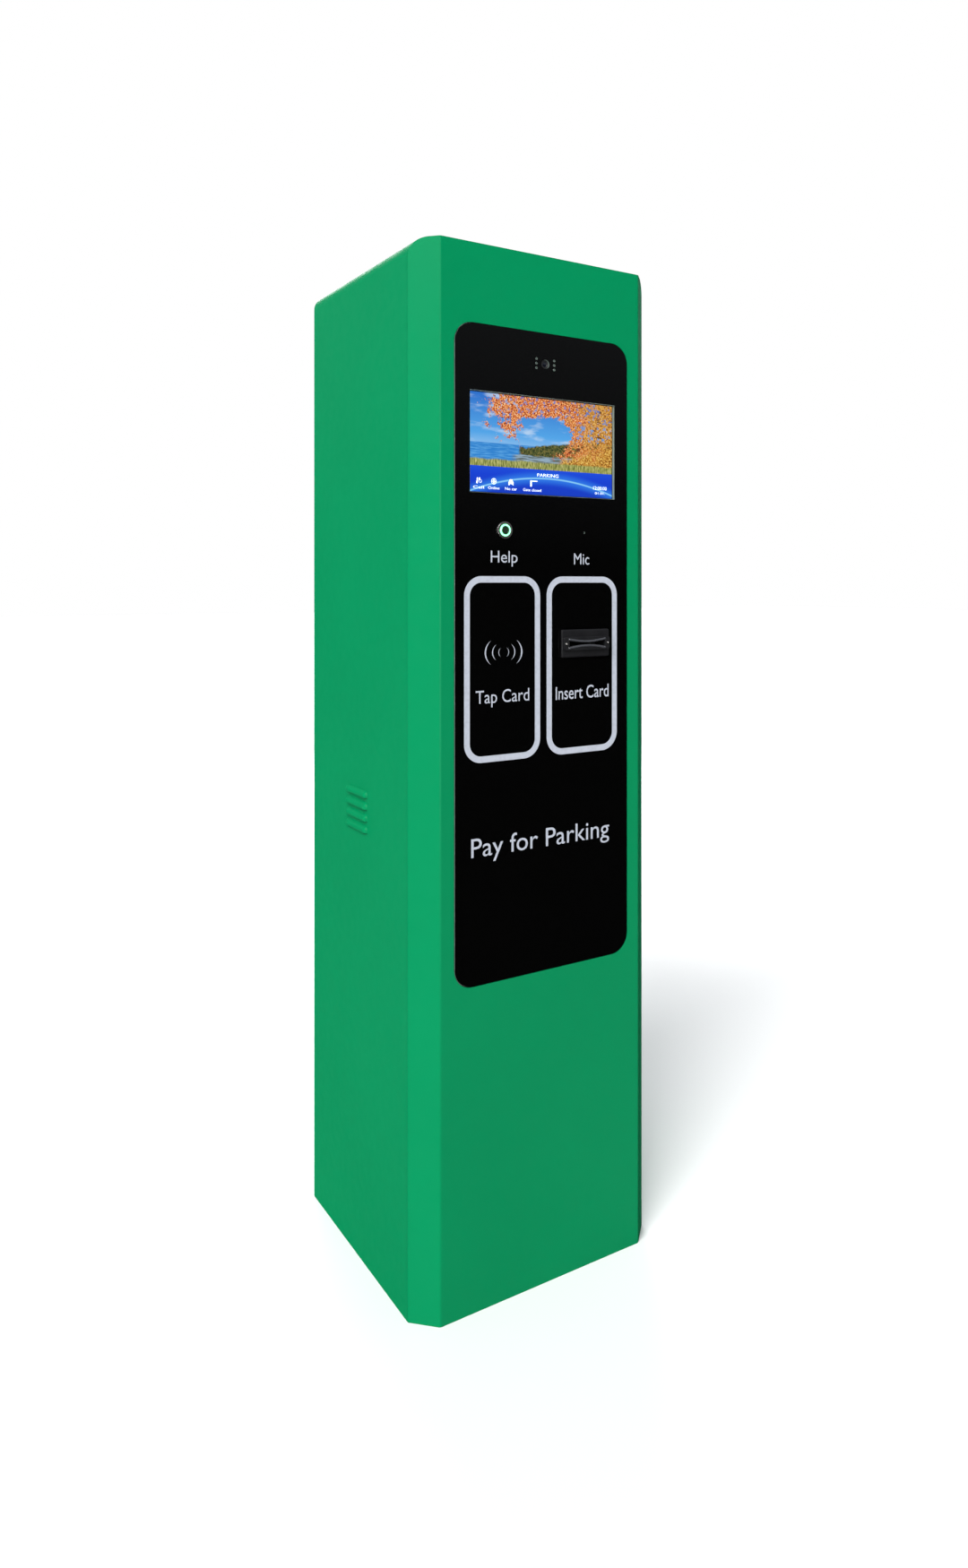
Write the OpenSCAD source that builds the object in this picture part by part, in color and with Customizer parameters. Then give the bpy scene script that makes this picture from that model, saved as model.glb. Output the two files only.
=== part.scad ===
// Parking pay station: a folded steel column cabinet with a black fascia that carries a screen,
// a camera, a help button, a microphone, a contactless reader and a motorised card reader.
// Millimetres. +Z is up, the fascia faces -Y, and the origin is the middle of the footprint on the floor.

/* [Cabinet] */
// Width over the side walls
body_w = 370; // [340:1:460]
// Depth from the front face to the back
body_d = 350; // [320:1:440]
// Height over the roof
body_h = 1350; // [1320:1:1650]
// Thickness of the cabinet's sheet steel
sheet = 2; // [1.6:0.1:2.6]
// Outside radius of the bend between a side wall and the roof
roof_r = 20; // [14:1:30]
// Leg of the chamfer on each front upright edge
chamfer = 30; // [24:1:36]
// Clearance between pieces that are assembled together
fit = 0.2; // [0.1:0.05:0.3]

/* [Base] */
// Thickness of the base plate
base_t = 3; // [2:0.5:5]
// Spacing of the anchor holes across the cabinet
anchor_x = 240; // [200:1:280]
// Spacing of the anchor holes from front to back
anchor_y = 210; // [180:1:250]
// Diameter of an anchor hole
anchor_d = 14; // [10:1:18]
// Diameter of the cable entry in the base
entry_d = 80; // [50:1:100]

/* [Fascia] */
// Width of the black panel
panel_w = 270; // [262:1:274]
// Height of the black panel
panel_h = 836; // [830:1:860]
// Thickness of the black panel
panel_t = 4; // [3.2:0.1:5]
// Corner radius of the black panel
panel_r = 26; // [12:1:30]
// Height of the panel's lower edge above the floor
panel_z = 412; // [380:1:440]
// Gap between the panel and the steel round it
panel_gap = 1; // [0.5:0.1:1.5]
// Distance from the middle to the button's and the card reader's columns
column_x = 62.5; // [58:0.5:66]

/* [Screen] */
// Width of the screen window
screen_w = 226; // [200:1:232]
// Height of the screen window
screen_h = 128.5; // [110:0.5:140]
// Height of the screen's middle
screen_z = 1099.5; // [1090:0.5:1110]

/* [Camera] */
// Height of the camera
camera_z = 1208; // [1202:1:1214]
// Diameter of the camera's barrel
lens_d = 11; // [8:0.5:14]
// Distance from the lens to each column of infrared lamps
led_x = 14; // [12:0.5:16]
// Pitch of the infrared lamps
led_pitch = 6; // [5:0.5:7]

/* [Help button] */
// Height of the help button and the microphone
button_z = 988; // [980:1:996]
// Diameter of the button's head
button_d = 22; // [20:0.5:26]
// Diameter of the button's threaded shank
shank_d = 19; // [18:0.5:19.5]
// Distance that the button's cap travels
button_travel = 1.8; // [1:0.1:2.5]

/* [Card reader] */
// Height of the card slot
card_z = 839.5; // [830:0.5:850]
// Width of the card reader's face plate
bezel_w = 77.5; // [72:0.5:84]
// Height of the card reader's face plate
bezel_h = 37.5; // [34:0.5:44]
// Thickness of the face plate in front of the panel
bezel_t = 4; // [2:0.5:6]
// How far the card mouth stands out of the panel
mouth_out = 9; // [7:0.5:12]
// Height of the card mouth
mouth_h = 17.5; // [15:0.5:20]
// Width of the card slot
slot_w = 58; // [56:0.5:60]

/* [Louvres] */
// Length of a louvre
louvre_l = 70; // [50:1:90]
// Pitch of the louvres
louvre_pitch = 15.7; // [14:0.1:20]
// Number of louvres on each side
louvre_n = 4; // [2:1:5]
// How far a louvre's hood stands out of the wall
louvre_out = 4.5; // [3:0.1:5]
// Place of the louvres from the middle of the side, towards the back
louvre_y = 13; // [5:1:15]
// Height of the louvres' middle
louvre_z = 610; // [600:5:640]

/* [Rear door] */
// Gap between the door's edges and the cabinet
door_gap = 2; // [1.5:0.1:3]
// Depth of the door's folded edge
door_fold = 17; // [14:0.5:20]
// Height of the door's lower edge above the floor
door_z = 32; // [31:1:45]
// Distance from the door's lower edge to the lock
lock_rise = 668; // [500:1:800]

/* [Hidden] */
$fn = 48;

// Overlap that keeps a cutting tool clear of the face that it cuts
cut = 1;
hw = body_w / 2;
hd = body_d / 2;
wall_in = hw - sheet;
front_in = -hd + sheet;
back_in = hd - sheet;

// Seam between the front shell and the side walls
seam = 0.6;
seam_y = -hd + chamfer;
flange_t = 2.5;
flange_l = 25;

// Upstand of the base tray
tray_wall = 2;
tray_h = 24;

// Rear frame: the stop that the door closes on, and the return that carries the hinge pins
stop_y = hd - 29;
stop_t = 2;
stop_w = 33;
return_t = 2;
jamb_leg = 26;
door_top = body_h - 34;
door_x = wall_in - door_gap;
door_y = hd - door_fold;
door_t = 2;
door_lip = 29;
seal_w = 8;
seal_x = door_x - door_lip + seal_w / 2 + 2;

// Hinge: a pin in the frame turns in a bush in the door
pin_d = 6;
pin_run = 0.05;
pin_in = 16;
pin_y = hd - 6.5;
pin_x = -door_x + pin_in;
bush_d = 8.4;
bush_flange_d = 13;
bush_flange_t = 2;
bush_l = 8;
pin_collar_t = 1.6;
pin_l = 11;

// Cam lock
lock_x = door_x - door_lip - 14;
lock_z = door_z + lock_rise;
lock_d = 19;
lock_head_d = 25;
lock_head_t = 3;
lock_core_d = 13;
lock_run = 0.06;
cam_t = 3;
cam_w = 15;
cam_l = 35;
cam_gap = 1.5;
cam_y = stop_y - cam_gap;
lock_nut_af = 24;
lock_nut_t = 5;
lock_screw_d = 9;
lock_screw_t = 3;

// Fascia build-up behind the front sheet
panel_in = -hd + panel_t;
carrier_t = 2;
carrier_in = panel_in + carrier_t;
carrier_edge = 15;
carrier_mid = panel_z + panel_h / 2;
stud_d = 3;
stud_edge = carrier_edge / 2 + panel_gap / 2;
stud_x = panel_w / 2 + stud_edge;
nut_af = 5.5;
nut_t = 2.4;
stud_over = 1.5;
screw_d = 3;
screw_hole = 3.4;
screw_head_d = 5.5;
screw_head_t = 2;
foot_t = 1.5;
stud_rows = 7;
stud_run = 38;

lcd_w = screen_w + 9;
lcd_h = screen_h + 14.5;
lcd_glass_t = 2;
lcd_t = 7;
lcd_wall = 1.5;
lcd_back = panel_in + lcd_glass_t + lcd_t;
lcd_post_d = 6;
lcd_post_end = lcd_back + 4;
clip_t = foot_t;
clip_w = 14;
clip_foot = 10;
clip_hole = lcd_w / 2 + fit + clip_t + (clip_foot - clip_t) / 2;
clip_grip = 10;
clip_z = 45;
board_t = 1.6;

lens_r = lens_d / 2;
lens_gap = 0.5;
lens_sunk = 0.8;
glass_sunk = 1.2;
lens_wall = 1.2;
glass_t = 2;
led_d = 3;
camera_gap = 7;
camera_w = 52;
camera_h = 28;
camera_win_w = 38;
camera_win_h = 24;
camera_y = carrier_in + camera_gap;

head_t = 2;
ring_d = 15.4;
cap_d = 11.2;
cap_run = 0.06;
shank_l = 24;
shank_floor = 2;
shank_y = -hd + shank_l;
cap_proud = 0.9;
cap_dish = 0.4;
cap_rim = 1.2;
cap_l = 16;
spring_wire = 0.7;
spring_d = 6;
spring_turns = 6;
spring_gap = 0.5;
coil_sides = 8;
coil_steps = 14;
cap_y = -hd - head_t - cap_proud;
cap_floor = 6;
cap_bore = 8.2;
button_nut_af = 24;
button_nut_t = 4;

mic_hole_d = 3;
mic_d = 9.6;
mic_l = 6;
boot_d = 14;
boot_l = 11;
boot_front = 2;

nfc_w = 90;
nfc_h = 70;
nfc_t = 11;
nfc_wall = 2;
nfc_ear = 9;
nfc_hole = (nfc_w + nfc_ear) / 2;
nfc_z = card_z - 8;

// Card reader
neck_w = 66;
neck_h = 26;
neck_gap = 0.5;
neck_l = 14;
slot_end = 9;
slot_mid = 2.6;
slot_lip_r = (pow(slot_w / 2, 2) + pow((slot_end - slot_mid) / 2, 2)) / (slot_end - slot_mid);
mouth_w = bezel_w - 2.5;
mouth_corner = 3;
reader_y0 = -hd + neck_l;
reader_l = 132;
reader_y1 = reader_y0 + reader_l;
reader_half = 36;
reader_wall = 1.5;
reader_low = card_z - 24;
reader_high = card_z + 22;
reader_foot = 12;
reader_grip = 14;
guide_gap = 3;
guide_t = 1.5;
guide_half = slot_w / 2 + 1;
roller_d = 13;
roller_w = 9;
roller_x = 17;
axle_d = 5;
axle_run = 0.05;
axle_z = card_z - guide_gap / 2 - roller_d / 2 + 1;
feed_y0 = reader_y0 + 26;
feed_y1 = reader_y1 - 26;
pulley_d = 14;
motor_pulley_d = 8;
pulley_w = 5;
belt_t = 1.2;
belt_w = 4;
belt_gap = 0.3;
pulley_x0 = reader_half + 1;
motor_d = 20;
motor_l = 30;
motor_off = 4;
motor_bore_l = 12;
motor_shaft_d = 3;
motor_y = (feed_y0 + feed_y1) / 2;
motor_z = axle_z + 14;

// Equipment plate and what it carries
plate_y = 60;
plate_t = 2;
plate_face = plate_y + plate_t;
plate_z0 = 60;
plate_z1 = 610;
plate_half = wall_in - fit - 5;
plate_grip = 20;
bolt_d = 5;
bolt_af = 8;
bolt_head_t = 3.5;
rail_t = 2;
rail_w = 32;
rail_leg = 30;
rail_z1 = plate_z1 + 30;
rail_z0 = tray_h + 20;
din_z = 545;
din_half = 140;
din_h = 35;
din_t = 1.2;
din_lift = 7.5;
din_neck = 25;
breaker_x = -112;
breaker_w = 36;
breaker_h = 80;
breaker_nose_h = 45;
breaker_screw = breaker_h / 2 - 8;
breaker_y1 = plate_face + 44;
breaker_y2 = breaker_y1 + 16;
lever_r = 7;
lever_w = 14;
lever_run = 0.5;
lever_l = 9;
lever_t = 4;
lever_on = 35;
lever_y = breaker_y2 - 5;
terminal_n = 14;
terminal_x = -60;
terminal_w = 6;
terminal_step = 6.3;
terminal_h = 50;
terminal_y = 46;
psu_x = -20;
psu_w = 190;
psu_h = 98;
psu_t = 38;
psu_z = 425;
psu_slots = 9;
box_x = -20;
box_w = 200;
box_h = 130;
box_t = 36;
box_z = 210;
box_port = 34;
fin_n = 12;
fin_h = 16;
fin_base = 4;
fin_t = 2;
duct_w = 30;
duct_t = 45;
duct_x = 138;
duct_wall = 1.8;
duct_slots = 13;
duct_rise = 20;
duct_first = 17;
lead_d = 5;
loom_d = 7;
lead_bend = 8;
psu_lead_y = 84;

// Fan, speaker and their fixings on the side walls
fan_w = 80;
fan_t = 25;
fan_bore = 76;
fan_hub_d = 32;
hub_t = 6;
fan_hole = 35.75;
fan_stud_d = 4;
fan_nut_af = 7;
fan_nut_t = 3.2;
fan_x = -wall_in + fit;
rotor_d = 72;
rotor_gap = 4;
blade_n = 7;
blade_t = 1.6;
blade_tilt = 38;
blade_w = 15;
guard_t = 1.6;
guard_wire = 1.6;
guard_bar = 7;
guard_eye = 8;
speaker_w = 78;
speaker_plate = 3;
speaker_x = wall_in - fit;
speaker_mouth = 66;
speaker_depth = 20;
speaker_throat = 30;
magnet_d = 44;
magnet_t = 12;
cone_wall = 1.2;

bin_w = 92;
bin_d = 70;
bin_h = 150;
bin_wall = 1.5;
bin_z = 612;
bin_back = plate_y - fit - 2;
bracket_t = 2;
bracket_drop = 30;
bracket_lip = 16;

// Limits of a length that is centred on a place
function about(middle, size) = [middle - size / 2, middle + size / 2];

function plan(inset) = let (w = hw - inset, d = hd - inset, c = chamfer - inset * (2 - sqrt(2)))
    [[-w + c, -d], [w - c, -d], [w, -d + c], [w, d], [-w, d], [-w, -d + c]];

// Boxes and cylinders given by their limits
module span(x, y, z) translate([x[0], y[0], z[0]]) cube([x[1] - x[0], y[1] - y[0], z[1] - z[0]]);
module rod_x(x, y, z, d) translate([x[0], y, z]) rotate([0, 90, 0]) cylinder(h = x[1] - x[0], d = d);
module rod_y(x, y, z, d) translate([x, y[0], z]) rotate([-90, 0, 0]) cylinder(h = y[1] - y[0], d = d);
module rod_z(x, y, z, d) translate([x, y, z[0]]) cylinder(h = z[1] - z[0], d = d);
// A drawing on the XZ plane, thickened along Y between two limits
module upright(y) translate([0, y[1], 0]) rotate([90, 0, 0]) linear_extrude(y[1] - y[0]) children();
module both_sides() for (side = [0, 1]) mirror([side, 0, 0]) children();
module hex_y(x, y, z, af) translate([x, y[0], z]) rotate([-90, 0, 0])
    cylinder(h = y[1] - y[0], d = af / cos(30), $fn = 6);
module hex_x(x, y, z, af) translate([x[0], y, z]) rotate([0, 90, 0])
    cylinder(h = x[1] - x[0], d = af / cos(30), $fn = 6);

module round_rect(w, h, r) {
    square([w - 2 * r, h], center = true);
    square([w, h - 2 * r], center = true);
    for (x = [-1, 1], z = [-1, 1]) translate([x * (w / 2 - r), z * (h / 2 - r)]) circle(r);
}

// Outline of the cabinet seen from the front, drawn in by an inset and let down below the floor
module outline(inset, drop = 0) {
    r = roof_r - inset;
    w = hw - inset;
    top = body_h - inset;
    translate([-w, -drop]) square([2 * w, top - r + drop]);
    translate([-w + r, 0]) square([2 * (w - r), top]);
    for (side = [-1, 1]) translate([side * (w - r), top - r]) circle(r);
}

// ---- cabinet ----

module base_tray() color("#b9bec2") difference() {
    linear_extrude(tray_h) polygon(plan(sheet + fit));
    translate([0, 0, base_t]) linear_extrude(tray_h) polygon(plan(sheet + fit + tray_wall));
    both_sides() span([wall_in - 2 * fit - flange_t, hw], [-hd, seam_y + flange_l + fit],
        [-cut, tray_h + cut]);
    for (x = [-1, 1], y = [-1, 1]) rod_z(x * anchor_x / 2, y * anchor_y / 2, [-cut, base_t + cut], anchor_d);
    rod_z(0, 0, [-cut, base_t + cut], entry_d);
}

louvre_r = (pow(louvre_out + 3, 2) + pow(louvre_out, 2)) / (2 * louvre_out) / 1.2;
louvre_skin = 1.2;
louvre_lip = 2.6;
louvre_deep = louvre_r - louvre_out;
louvre_foot = sqrt(pow(louvre_r, 2) - pow(louvre_deep, 2));

// A rod with round ends that lies along Y, half sunk in the wall
module louvre_form(z, r) translate([hw - louvre_deep, louvre_y, z]) {
    run = louvre_l - 2 * louvre_foot;
    rotate([90, 0, 0]) cylinder(h = run, r = r, center = true);
    for (end = [-1, 1]) translate([0, end * run / 2, 0]) sphere(r);
}

// What stands above a louvre's lower lip, outwards from a plane across the cabinet
module louvre_mouth(z, x0)
    span([x0, hw + 2 * louvre_out], about(louvre_y, 2 * louvre_l), [z - louvre_lip, z + louvre_r + cut]);

module louvre_hood(z) difference() {
    intersection() {
        louvre_form(z, louvre_r);
        louvre_mouth(z, hw - sheet / 2);
    }
    louvre_form(z, louvre_r - louvre_skin);
}

module louvre_slot(z) intersection() {
    louvre_form(z, louvre_r - louvre_skin);
    louvre_mouth(z, wall_in - louvre_r);
}

function louvre_height(i) = louvre_z + (i - (louvre_n - 1) / 2) * louvre_pitch;

module body_shell() color("#0e9c5e") {
    inner = plan(sheet);
    corner = inner[1][0] + (seam_y + seam - inner[1][1]);
    difference() {
        intersection() {
            upright([front_in, hd]) difference() {
                outline(0);
                outline(sheet, cut);
            }
            translate([0, 0, -cut]) linear_extrude(body_h + 2 * cut) polygon([inner[0], inner[1],
                [corner, seam_y + seam], [hw + cut, seam_y + seam], [hw + cut, hd + cut],
                [-hw - cut, hd + cut], [-hw - cut, seam_y + seam], [-corner, seam_y + seam]]);
        }
        both_sides() for (i = [0 : louvre_n - 1]) louvre_slot(louvre_height(i));
    }
    both_sides() for (i = [0 : louvre_n - 1]) louvre_hood(louvre_height(i));
}

// Places of the fascia's weld studs: a column up each side, and two each at the top and the bottom
function stud_places() = concat(
    [for (side = [-1, 1], i = [0 : stud_rows - 1])
        [side * stud_x, panel_z + stud_run + i * (panel_h - 2 * stud_run) / (stud_rows - 1)]],
    [for (side = [-1, 1], end = [-1, 1])
        [side * panel_w / 4, carrier_mid + end * (panel_h / 2 + stud_edge)]]);

// Screws that hold the screen's clips and the two readers: [x, z, thickness under the head]
function screw_places() = concat(
    [for (x = [-1, 1], z = [-1, 1]) [x * clip_hole, screen_z + z * clip_z, clip_t]],
    [for (x = [-1, 1]) [-column_x + x * nfc_hole, nfc_z, foot_t]],
    [for (p = reader_screws()) [column_x + p[0], p[1], foot_t]]);

module front_shell() color("#0e9c5e") {
    inner = plan(sheet);
    inner_end = hw - sheet * sqrt(2);
    flange_x = wall_in - fit;
    difference() {
        intersection() {
            linear_extrude(body_h) polygon([
                [-hw, seam_y], [-hw + chamfer, -hd], [hw - chamfer, -hd], [hw, seam_y],
                [inner_end, seam_y], inner[1], inner[0], [-inner_end, seam_y]]);
            upright([-hd - cut, hd]) outline(0);
        }
        translate([0, 0, carrier_mid]) upright([-hd - cut, front_in + cut])
            round_rect(panel_w + 2 * panel_gap, panel_h + 2 * panel_gap, panel_r + panel_gap);
    }
    intersection() {
        both_sides() span([flange_x - flange_t, flange_x], [seam_y - sheet, seam_y + flange_l], [0, body_h]);
        upright([-hd, hd]) outline(sheet + fit);
    }
    for (p = stud_places()) rod_y(p[0], [front_in - sheet / 4, carrier_in + nut_t + stud_over], p[1], stud_d);
}

module rear_frame() color("#0c8a53") {
    side = wall_in - fit;
    head_z = door_top + door_gap;
    sill_z = door_z - door_gap;
    difference() {
        union() {
            // header and sill, flush with the back
            intersection() {
                span([-side, side], [back_in, hd], [head_z, body_h]);
                upright([back_in - cut, hd + cut]) outline(sheet + fit);
            }
            span([-side, side], [back_in, hd], [0, sill_z]);
            // returns that run in from the header and the sill
            span([-side, side], [stop_y, back_in + sheet / 2], [head_z, head_z + return_t]);
            span([-side, side], [stop_y, back_in + sheet / 2], [sill_z - return_t, sill_z]);
            // the stop that the seal closes on, and the jambs' legs on the side walls
            difference() {
                span([-side, side], [stop_y, stop_y + stop_t], [sill_z - return_t, head_z + return_t]);
                span([-side + stop_w, side - stop_w], [stop_y - cut, stop_y + stop_t + cut],
                    [sill_z + stop_w, head_z - stop_w]);
            }
            both_sides() span([side - return_t, side], [stop_y - jamb_leg, stop_y + stop_t],
                [sill_z - return_t, head_z + return_t]);
        }
        for (z = [sill_z - return_t, head_z])
            rod_z(pin_x, pin_y, [z - cut, z + return_t + cut], pin_d + 2 * pin_run);
    }
}

// The lower pin stands up and the upper one hangs down, each with a collar against the frame's return
module hinge_pins() color("#c9ccce") {
    for (end = [[door_z - door_gap, 0], [door_top + door_gap, 1]]) translate([pin_x, pin_y, end[0]])
        mirror([0, 0, end[1]]) {
            translate([0, 0, -return_t - 1]) cylinder(h = pin_l + return_t + 1, d = pin_d);
            cylinder(h = pin_collar_t, d = bush_d);
        }
}

// ---- fascia ----

module at_column(side) translate([side * column_x, 0, 0]) children();

module led_places() for (x = [-1, 1], i = [-1, 0, 1])
    translate([x * led_x, 0, camera_z + i * led_pitch]) children();

module fascia_panel() color("#0b0b0c") difference() {
    translate([0, 0, carrier_mid]) upright([-hd, panel_in]) round_rect(panel_w, panel_h, panel_r);
    span(about(0, screen_w), [-hd - cut, panel_in + cut], about(screen_z, screen_h));
    rod_y(0, [-hd - cut, panel_in + cut], camera_z, lens_d + 2 * lens_gap);
    led_places() rod_y(0, [-hd - cut, panel_in + cut], 0, led_d + lens_gap);
    rod_y(-column_x, [-hd - cut, panel_in + cut], button_z, shank_d + 2 * fit);
    rod_y(column_x, [-hd - cut, panel_in + cut], button_z, mic_hole_d);
    at_column(1) span([-neck_w / 2 - neck_gap, neck_w / 2 + neck_gap], [-hd - cut, panel_in + cut],
        [card_z - neck_h / 2 - neck_gap, card_z + neck_h / 2 + neck_gap]);
}

module fascia_gasket() color("#1c1d1e") difference() {
    translate([0, 0, carrier_mid]) upright([front_in, panel_in]) difference() {
        square([panel_w + 2 * carrier_edge, panel_h + 2 * carrier_edge], center = true);
        round_rect(panel_w + 2 * panel_gap, panel_h + 2 * panel_gap, panel_r + panel_gap);
    }
    for (p = stud_places()) rod_y(p[0], [front_in - cut, panel_in + cut], p[1], stud_d + 2 * fit);
}

module fascia_carrier() color("#b9bec2") difference() {
    y = [panel_in - cut, carrier_in + cut];
    translate([0, 0, carrier_mid]) upright([panel_in, carrier_in])
        square([panel_w + 2 * carrier_edge, panel_h + 2 * carrier_edge], center = true);
    for (p = stud_places()) rod_y(p[0], y, p[1], stud_d + 2 * fit);
    for (p = screw_places()) rod_y(p[0], y, p[1], screw_hole);
    span(about(0, lcd_w + 2 * fit), y, about(screen_z, lcd_h + 2 * fit));
    span(about(0, camera_win_w), y, about(camera_z, camera_win_h));
    rod_y(-column_x, y, button_z, shank_d + 2 * fit);
    rod_y(column_x, y, button_z, boot_d + 2 * fit);
    at_column(-1) span(about(0, nfc_w + 2 * fit), y, about(nfc_z, nfc_h + 2 * fit));
    at_column(1) span(about(0, neck_w + 2 * neck_gap), y, about(card_z, neck_h + 2 * neck_gap));
}

module fascia_fixings() color("#c9ccce") {
    for (p = stud_places()) difference() {
        hex_y(p[0], [carrier_in, carrier_in + nut_t], p[1], nut_af);
        rod_y(p[0], [carrier_in - cut, carrier_in + nut_t + cut], p[1], stud_d + fit / 2);
    }
    for (p = screw_places()) {
        rod_y(p[0], [panel_in + fit, carrier_in + p[2] + fit], p[1], screw_d);
        rod_y(p[0], [carrier_in + p[2], carrier_in + p[2] + screw_head_t], p[1], screw_head_d);
    }
}

module lcd_glass() color("#2f6fd0")
    span(about(0, lcd_w), [panel_in, panel_in + lcd_glass_t], about(screen_z, lcd_h));

module lcd_housing() color("#a9adb1") {
    difference() {
        span(about(0, lcd_w), [panel_in + lcd_glass_t, lcd_back], about(screen_z, lcd_h));
        span(about(0, lcd_w - 2 * lcd_wall), [panel_in + lcd_glass_t - cut, lcd_back - lcd_wall],
            about(screen_z, lcd_h - 2 * lcd_wall));
    }
    for (x = [-1, 1], z = [-1, 1])
        rod_y(x * lcd_w / 3, [lcd_back - lcd_wall / 2, lcd_post_end], screen_z + z * lcd_h / 5, lcd_post_d);
}

// Z-shaped clips that hold the screen's housing to the carrier, each with its screw
module lcd_clips() color("#c9ccce") both_sides() for (z = [-1, 1]) {
    edge = lcd_w / 2 + fit;
    out = edge + clip_foot;
    turn = edge + clip_t;
    difference() {
        translate([0, 0, screen_z + z * clip_z - clip_w / 2]) linear_extrude(clip_w) polygon([
            [out, carrier_in], [out, carrier_in + clip_t], [turn, carrier_in + clip_t],
            [turn, lcd_back + clip_t], [edge - clip_grip, lcd_back + clip_t], [edge - clip_grip, lcd_back],
            [edge, lcd_back], [edge, carrier_in]]);
        rod_y(clip_hole, [carrier_in - cut, carrier_in + clip_t + cut], screen_z + z * clip_z, screw_hole);
    }
}

module lcd_board() color("#1d6b3a") {
    top = lcd_post_end + board_t;
    span(about(0, 2 * lcd_w / 3 + 2 * lcd_post_d), [lcd_post_end, top], about(screen_z, 2 * lcd_h / 5 + 16));
    span(about(-11, 26), [top, top + 3], about(screen_z, 26));
    span(about(45, 30), [top, top + 5], about(screen_z - 25, 10));
    for (i = [0 : 3]) rod_y(20 + i * 11, [top, top + 9], screen_z + 22, 8);
}

module camera_board() color("#1d6b3a") {
    span(about(0, camera_w), [camera_y, camera_y + board_t], about(camera_z, camera_h));
    for (x = [-1, 1], z = [-1, 1])
        rod_y(x * (camera_w / 2 - 3.5), [carrier_in, camera_y], camera_z + z * (camera_h / 2 - 4), 4.5);
}

module camera_barrel() color("#161718") difference() {
    union() {
        rod_y(0, [-hd + lens_sunk, camera_y], camera_z, lens_d);
        span(about(0, lens_d + 6), [panel_in + 1, camera_y], about(camera_z, lens_d + 6));
    }
    rod_y(0, [-hd - cut, -hd + glass_sunk + glass_t], camera_z, lens_d - 2 * lens_wall);
}

// Front element of the lens, a disc with a domed face
module camera_glass() color("#30363c") {
    r = lens_r - lens_wall - fit / 4;
    dome = 9;
    y0 = -hd + glass_sunk + 1;
    intersection() {
        rod_y(0, [-hd, -hd + glass_sunk + glass_t], camera_z, 2 * r);
        translate([0, y0 - 1 + dome, camera_z]) sphere(dome);
    }
}

module ir_lamps() color("#d7dadc") led_places() {
    rod_y(0, [-hd + lens_sunk + led_d / 2, camera_y], 0, led_d);
    translate([0, -hd + lens_sunk + led_d / 2, 0]) sphere(d = led_d);
}

// ---- help button and microphone ----

module button_body() color("#c4c8cb") at_column(-1) difference() {
    union() {
        rod_y(0, [-hd - head_t, -hd], button_z, button_d);
        rod_y(0, [-hd - fit, shank_y], button_z, shank_d);
    }
    rod_y(0, [-hd - head_t - cut, shank_y - shank_floor], button_z, ring_d);
}

module button_ring() color("#8dfcb0") at_column(-1) difference() {
    rod_y(0, [-hd - head_t - 0.3, shank_y - shank_floor], button_z, ring_d - fit / 2);
    rod_y(0, [-hd - head_t - cut, shank_y - shank_floor + cut], button_z, cap_d + 2 * cap_run);
}

module button_nut() color("#c4c8cb") at_column(-1) difference() {
    hex_y(0, [carrier_in, carrier_in + button_nut_t], button_z, button_nut_af);
    rod_y(0, [carrier_in - cut, carrier_in + button_nut_t + cut], button_z, shank_d + fit);
}

spring_y0 = cap_y + cap_floor + button_travel + spring_wire / 2 + spring_gap;
spring_y1 = shank_y - shank_floor - spring_wire / 2 - fit;

// Return spring: a wire of round section swept along a helix
module button_spring() color("#d0d3d5") translate([-column_x, spring_y0, button_z]) rotate([-90, 0, 0]) {
    rings = spring_turns * coil_steps;
    rise = spring_y1 - spring_y0;
    points = [for (i = [0 : rings], k = [0 : coil_sides - 1])
        let (a = 360 * i / coil_steps, b = 360 * k / coil_sides, r = spring_d / 2 + cos(b) * spring_wire / 2)
        [r * cos(a), r * sin(a), rise * i / rings + sin(b) * spring_wire / 2]];
    skin = [for (i = [0 : rings - 1], k = [0 : coil_sides - 1])
        let (a = i * coil_sides + k, b = i * coil_sides + (k + 1) % coil_sides)
        [a, b, b + coil_sides, a + coil_sides]];
    ends = [[for (k = [coil_sides - 1 : -1 : 0]) k], [for (k = [0 : coil_sides - 1]) rings * coil_sides + k]];
    polyhedron(points, concat(skin, ends));
}

module button_cap() color("#5f8f6c") at_column(-1) difference() {
    rod_y(0, [cap_y, cap_y + cap_l], button_z, cap_d);
    rod_y(0, [cap_y - cut, cap_y + cap_dish], button_z, cap_d - 2 * cap_rim);
    rod_y(0, [cap_y + cap_floor, cap_y + cap_l + cut], button_z, cap_bore);
}

// Rubber boot with the microphone's capsule pushed into it
module microphone() color("#202122") at_column(1) difference() {
    rod_y(0, [panel_in, panel_in + boot_l], button_z, boot_d);
    rod_y(0, [panel_in - cut, panel_in + boot_front + cut], button_z, mic_hole_d);
    rod_y(0, [panel_in + boot_front + mic_l, panel_in + boot_l + cut], button_z, mic_d);
}

// ---- contactless reader ----

module nfc_housing() color("#2a2c2e") at_column(-1) difference() {
    union() {
        span(about(0, nfc_w), [panel_in, panel_in + nfc_t], about(nfc_z, nfc_h));
        both_sides() span([nfc_w / 2 - cut, nfc_w / 2 + nfc_ear], [carrier_in, carrier_in + foot_t],
            about(nfc_z, 16));
    }
    span(about(0, nfc_w - 2 * nfc_wall), [panel_in + nfc_wall, panel_in + nfc_t + cut],
        about(nfc_z, nfc_h - 2 * nfc_wall));
    both_sides() rod_y(nfc_hole, [carrier_in - cut, carrier_in + foot_t + cut], nfc_z, screw_hole);
}

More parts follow.
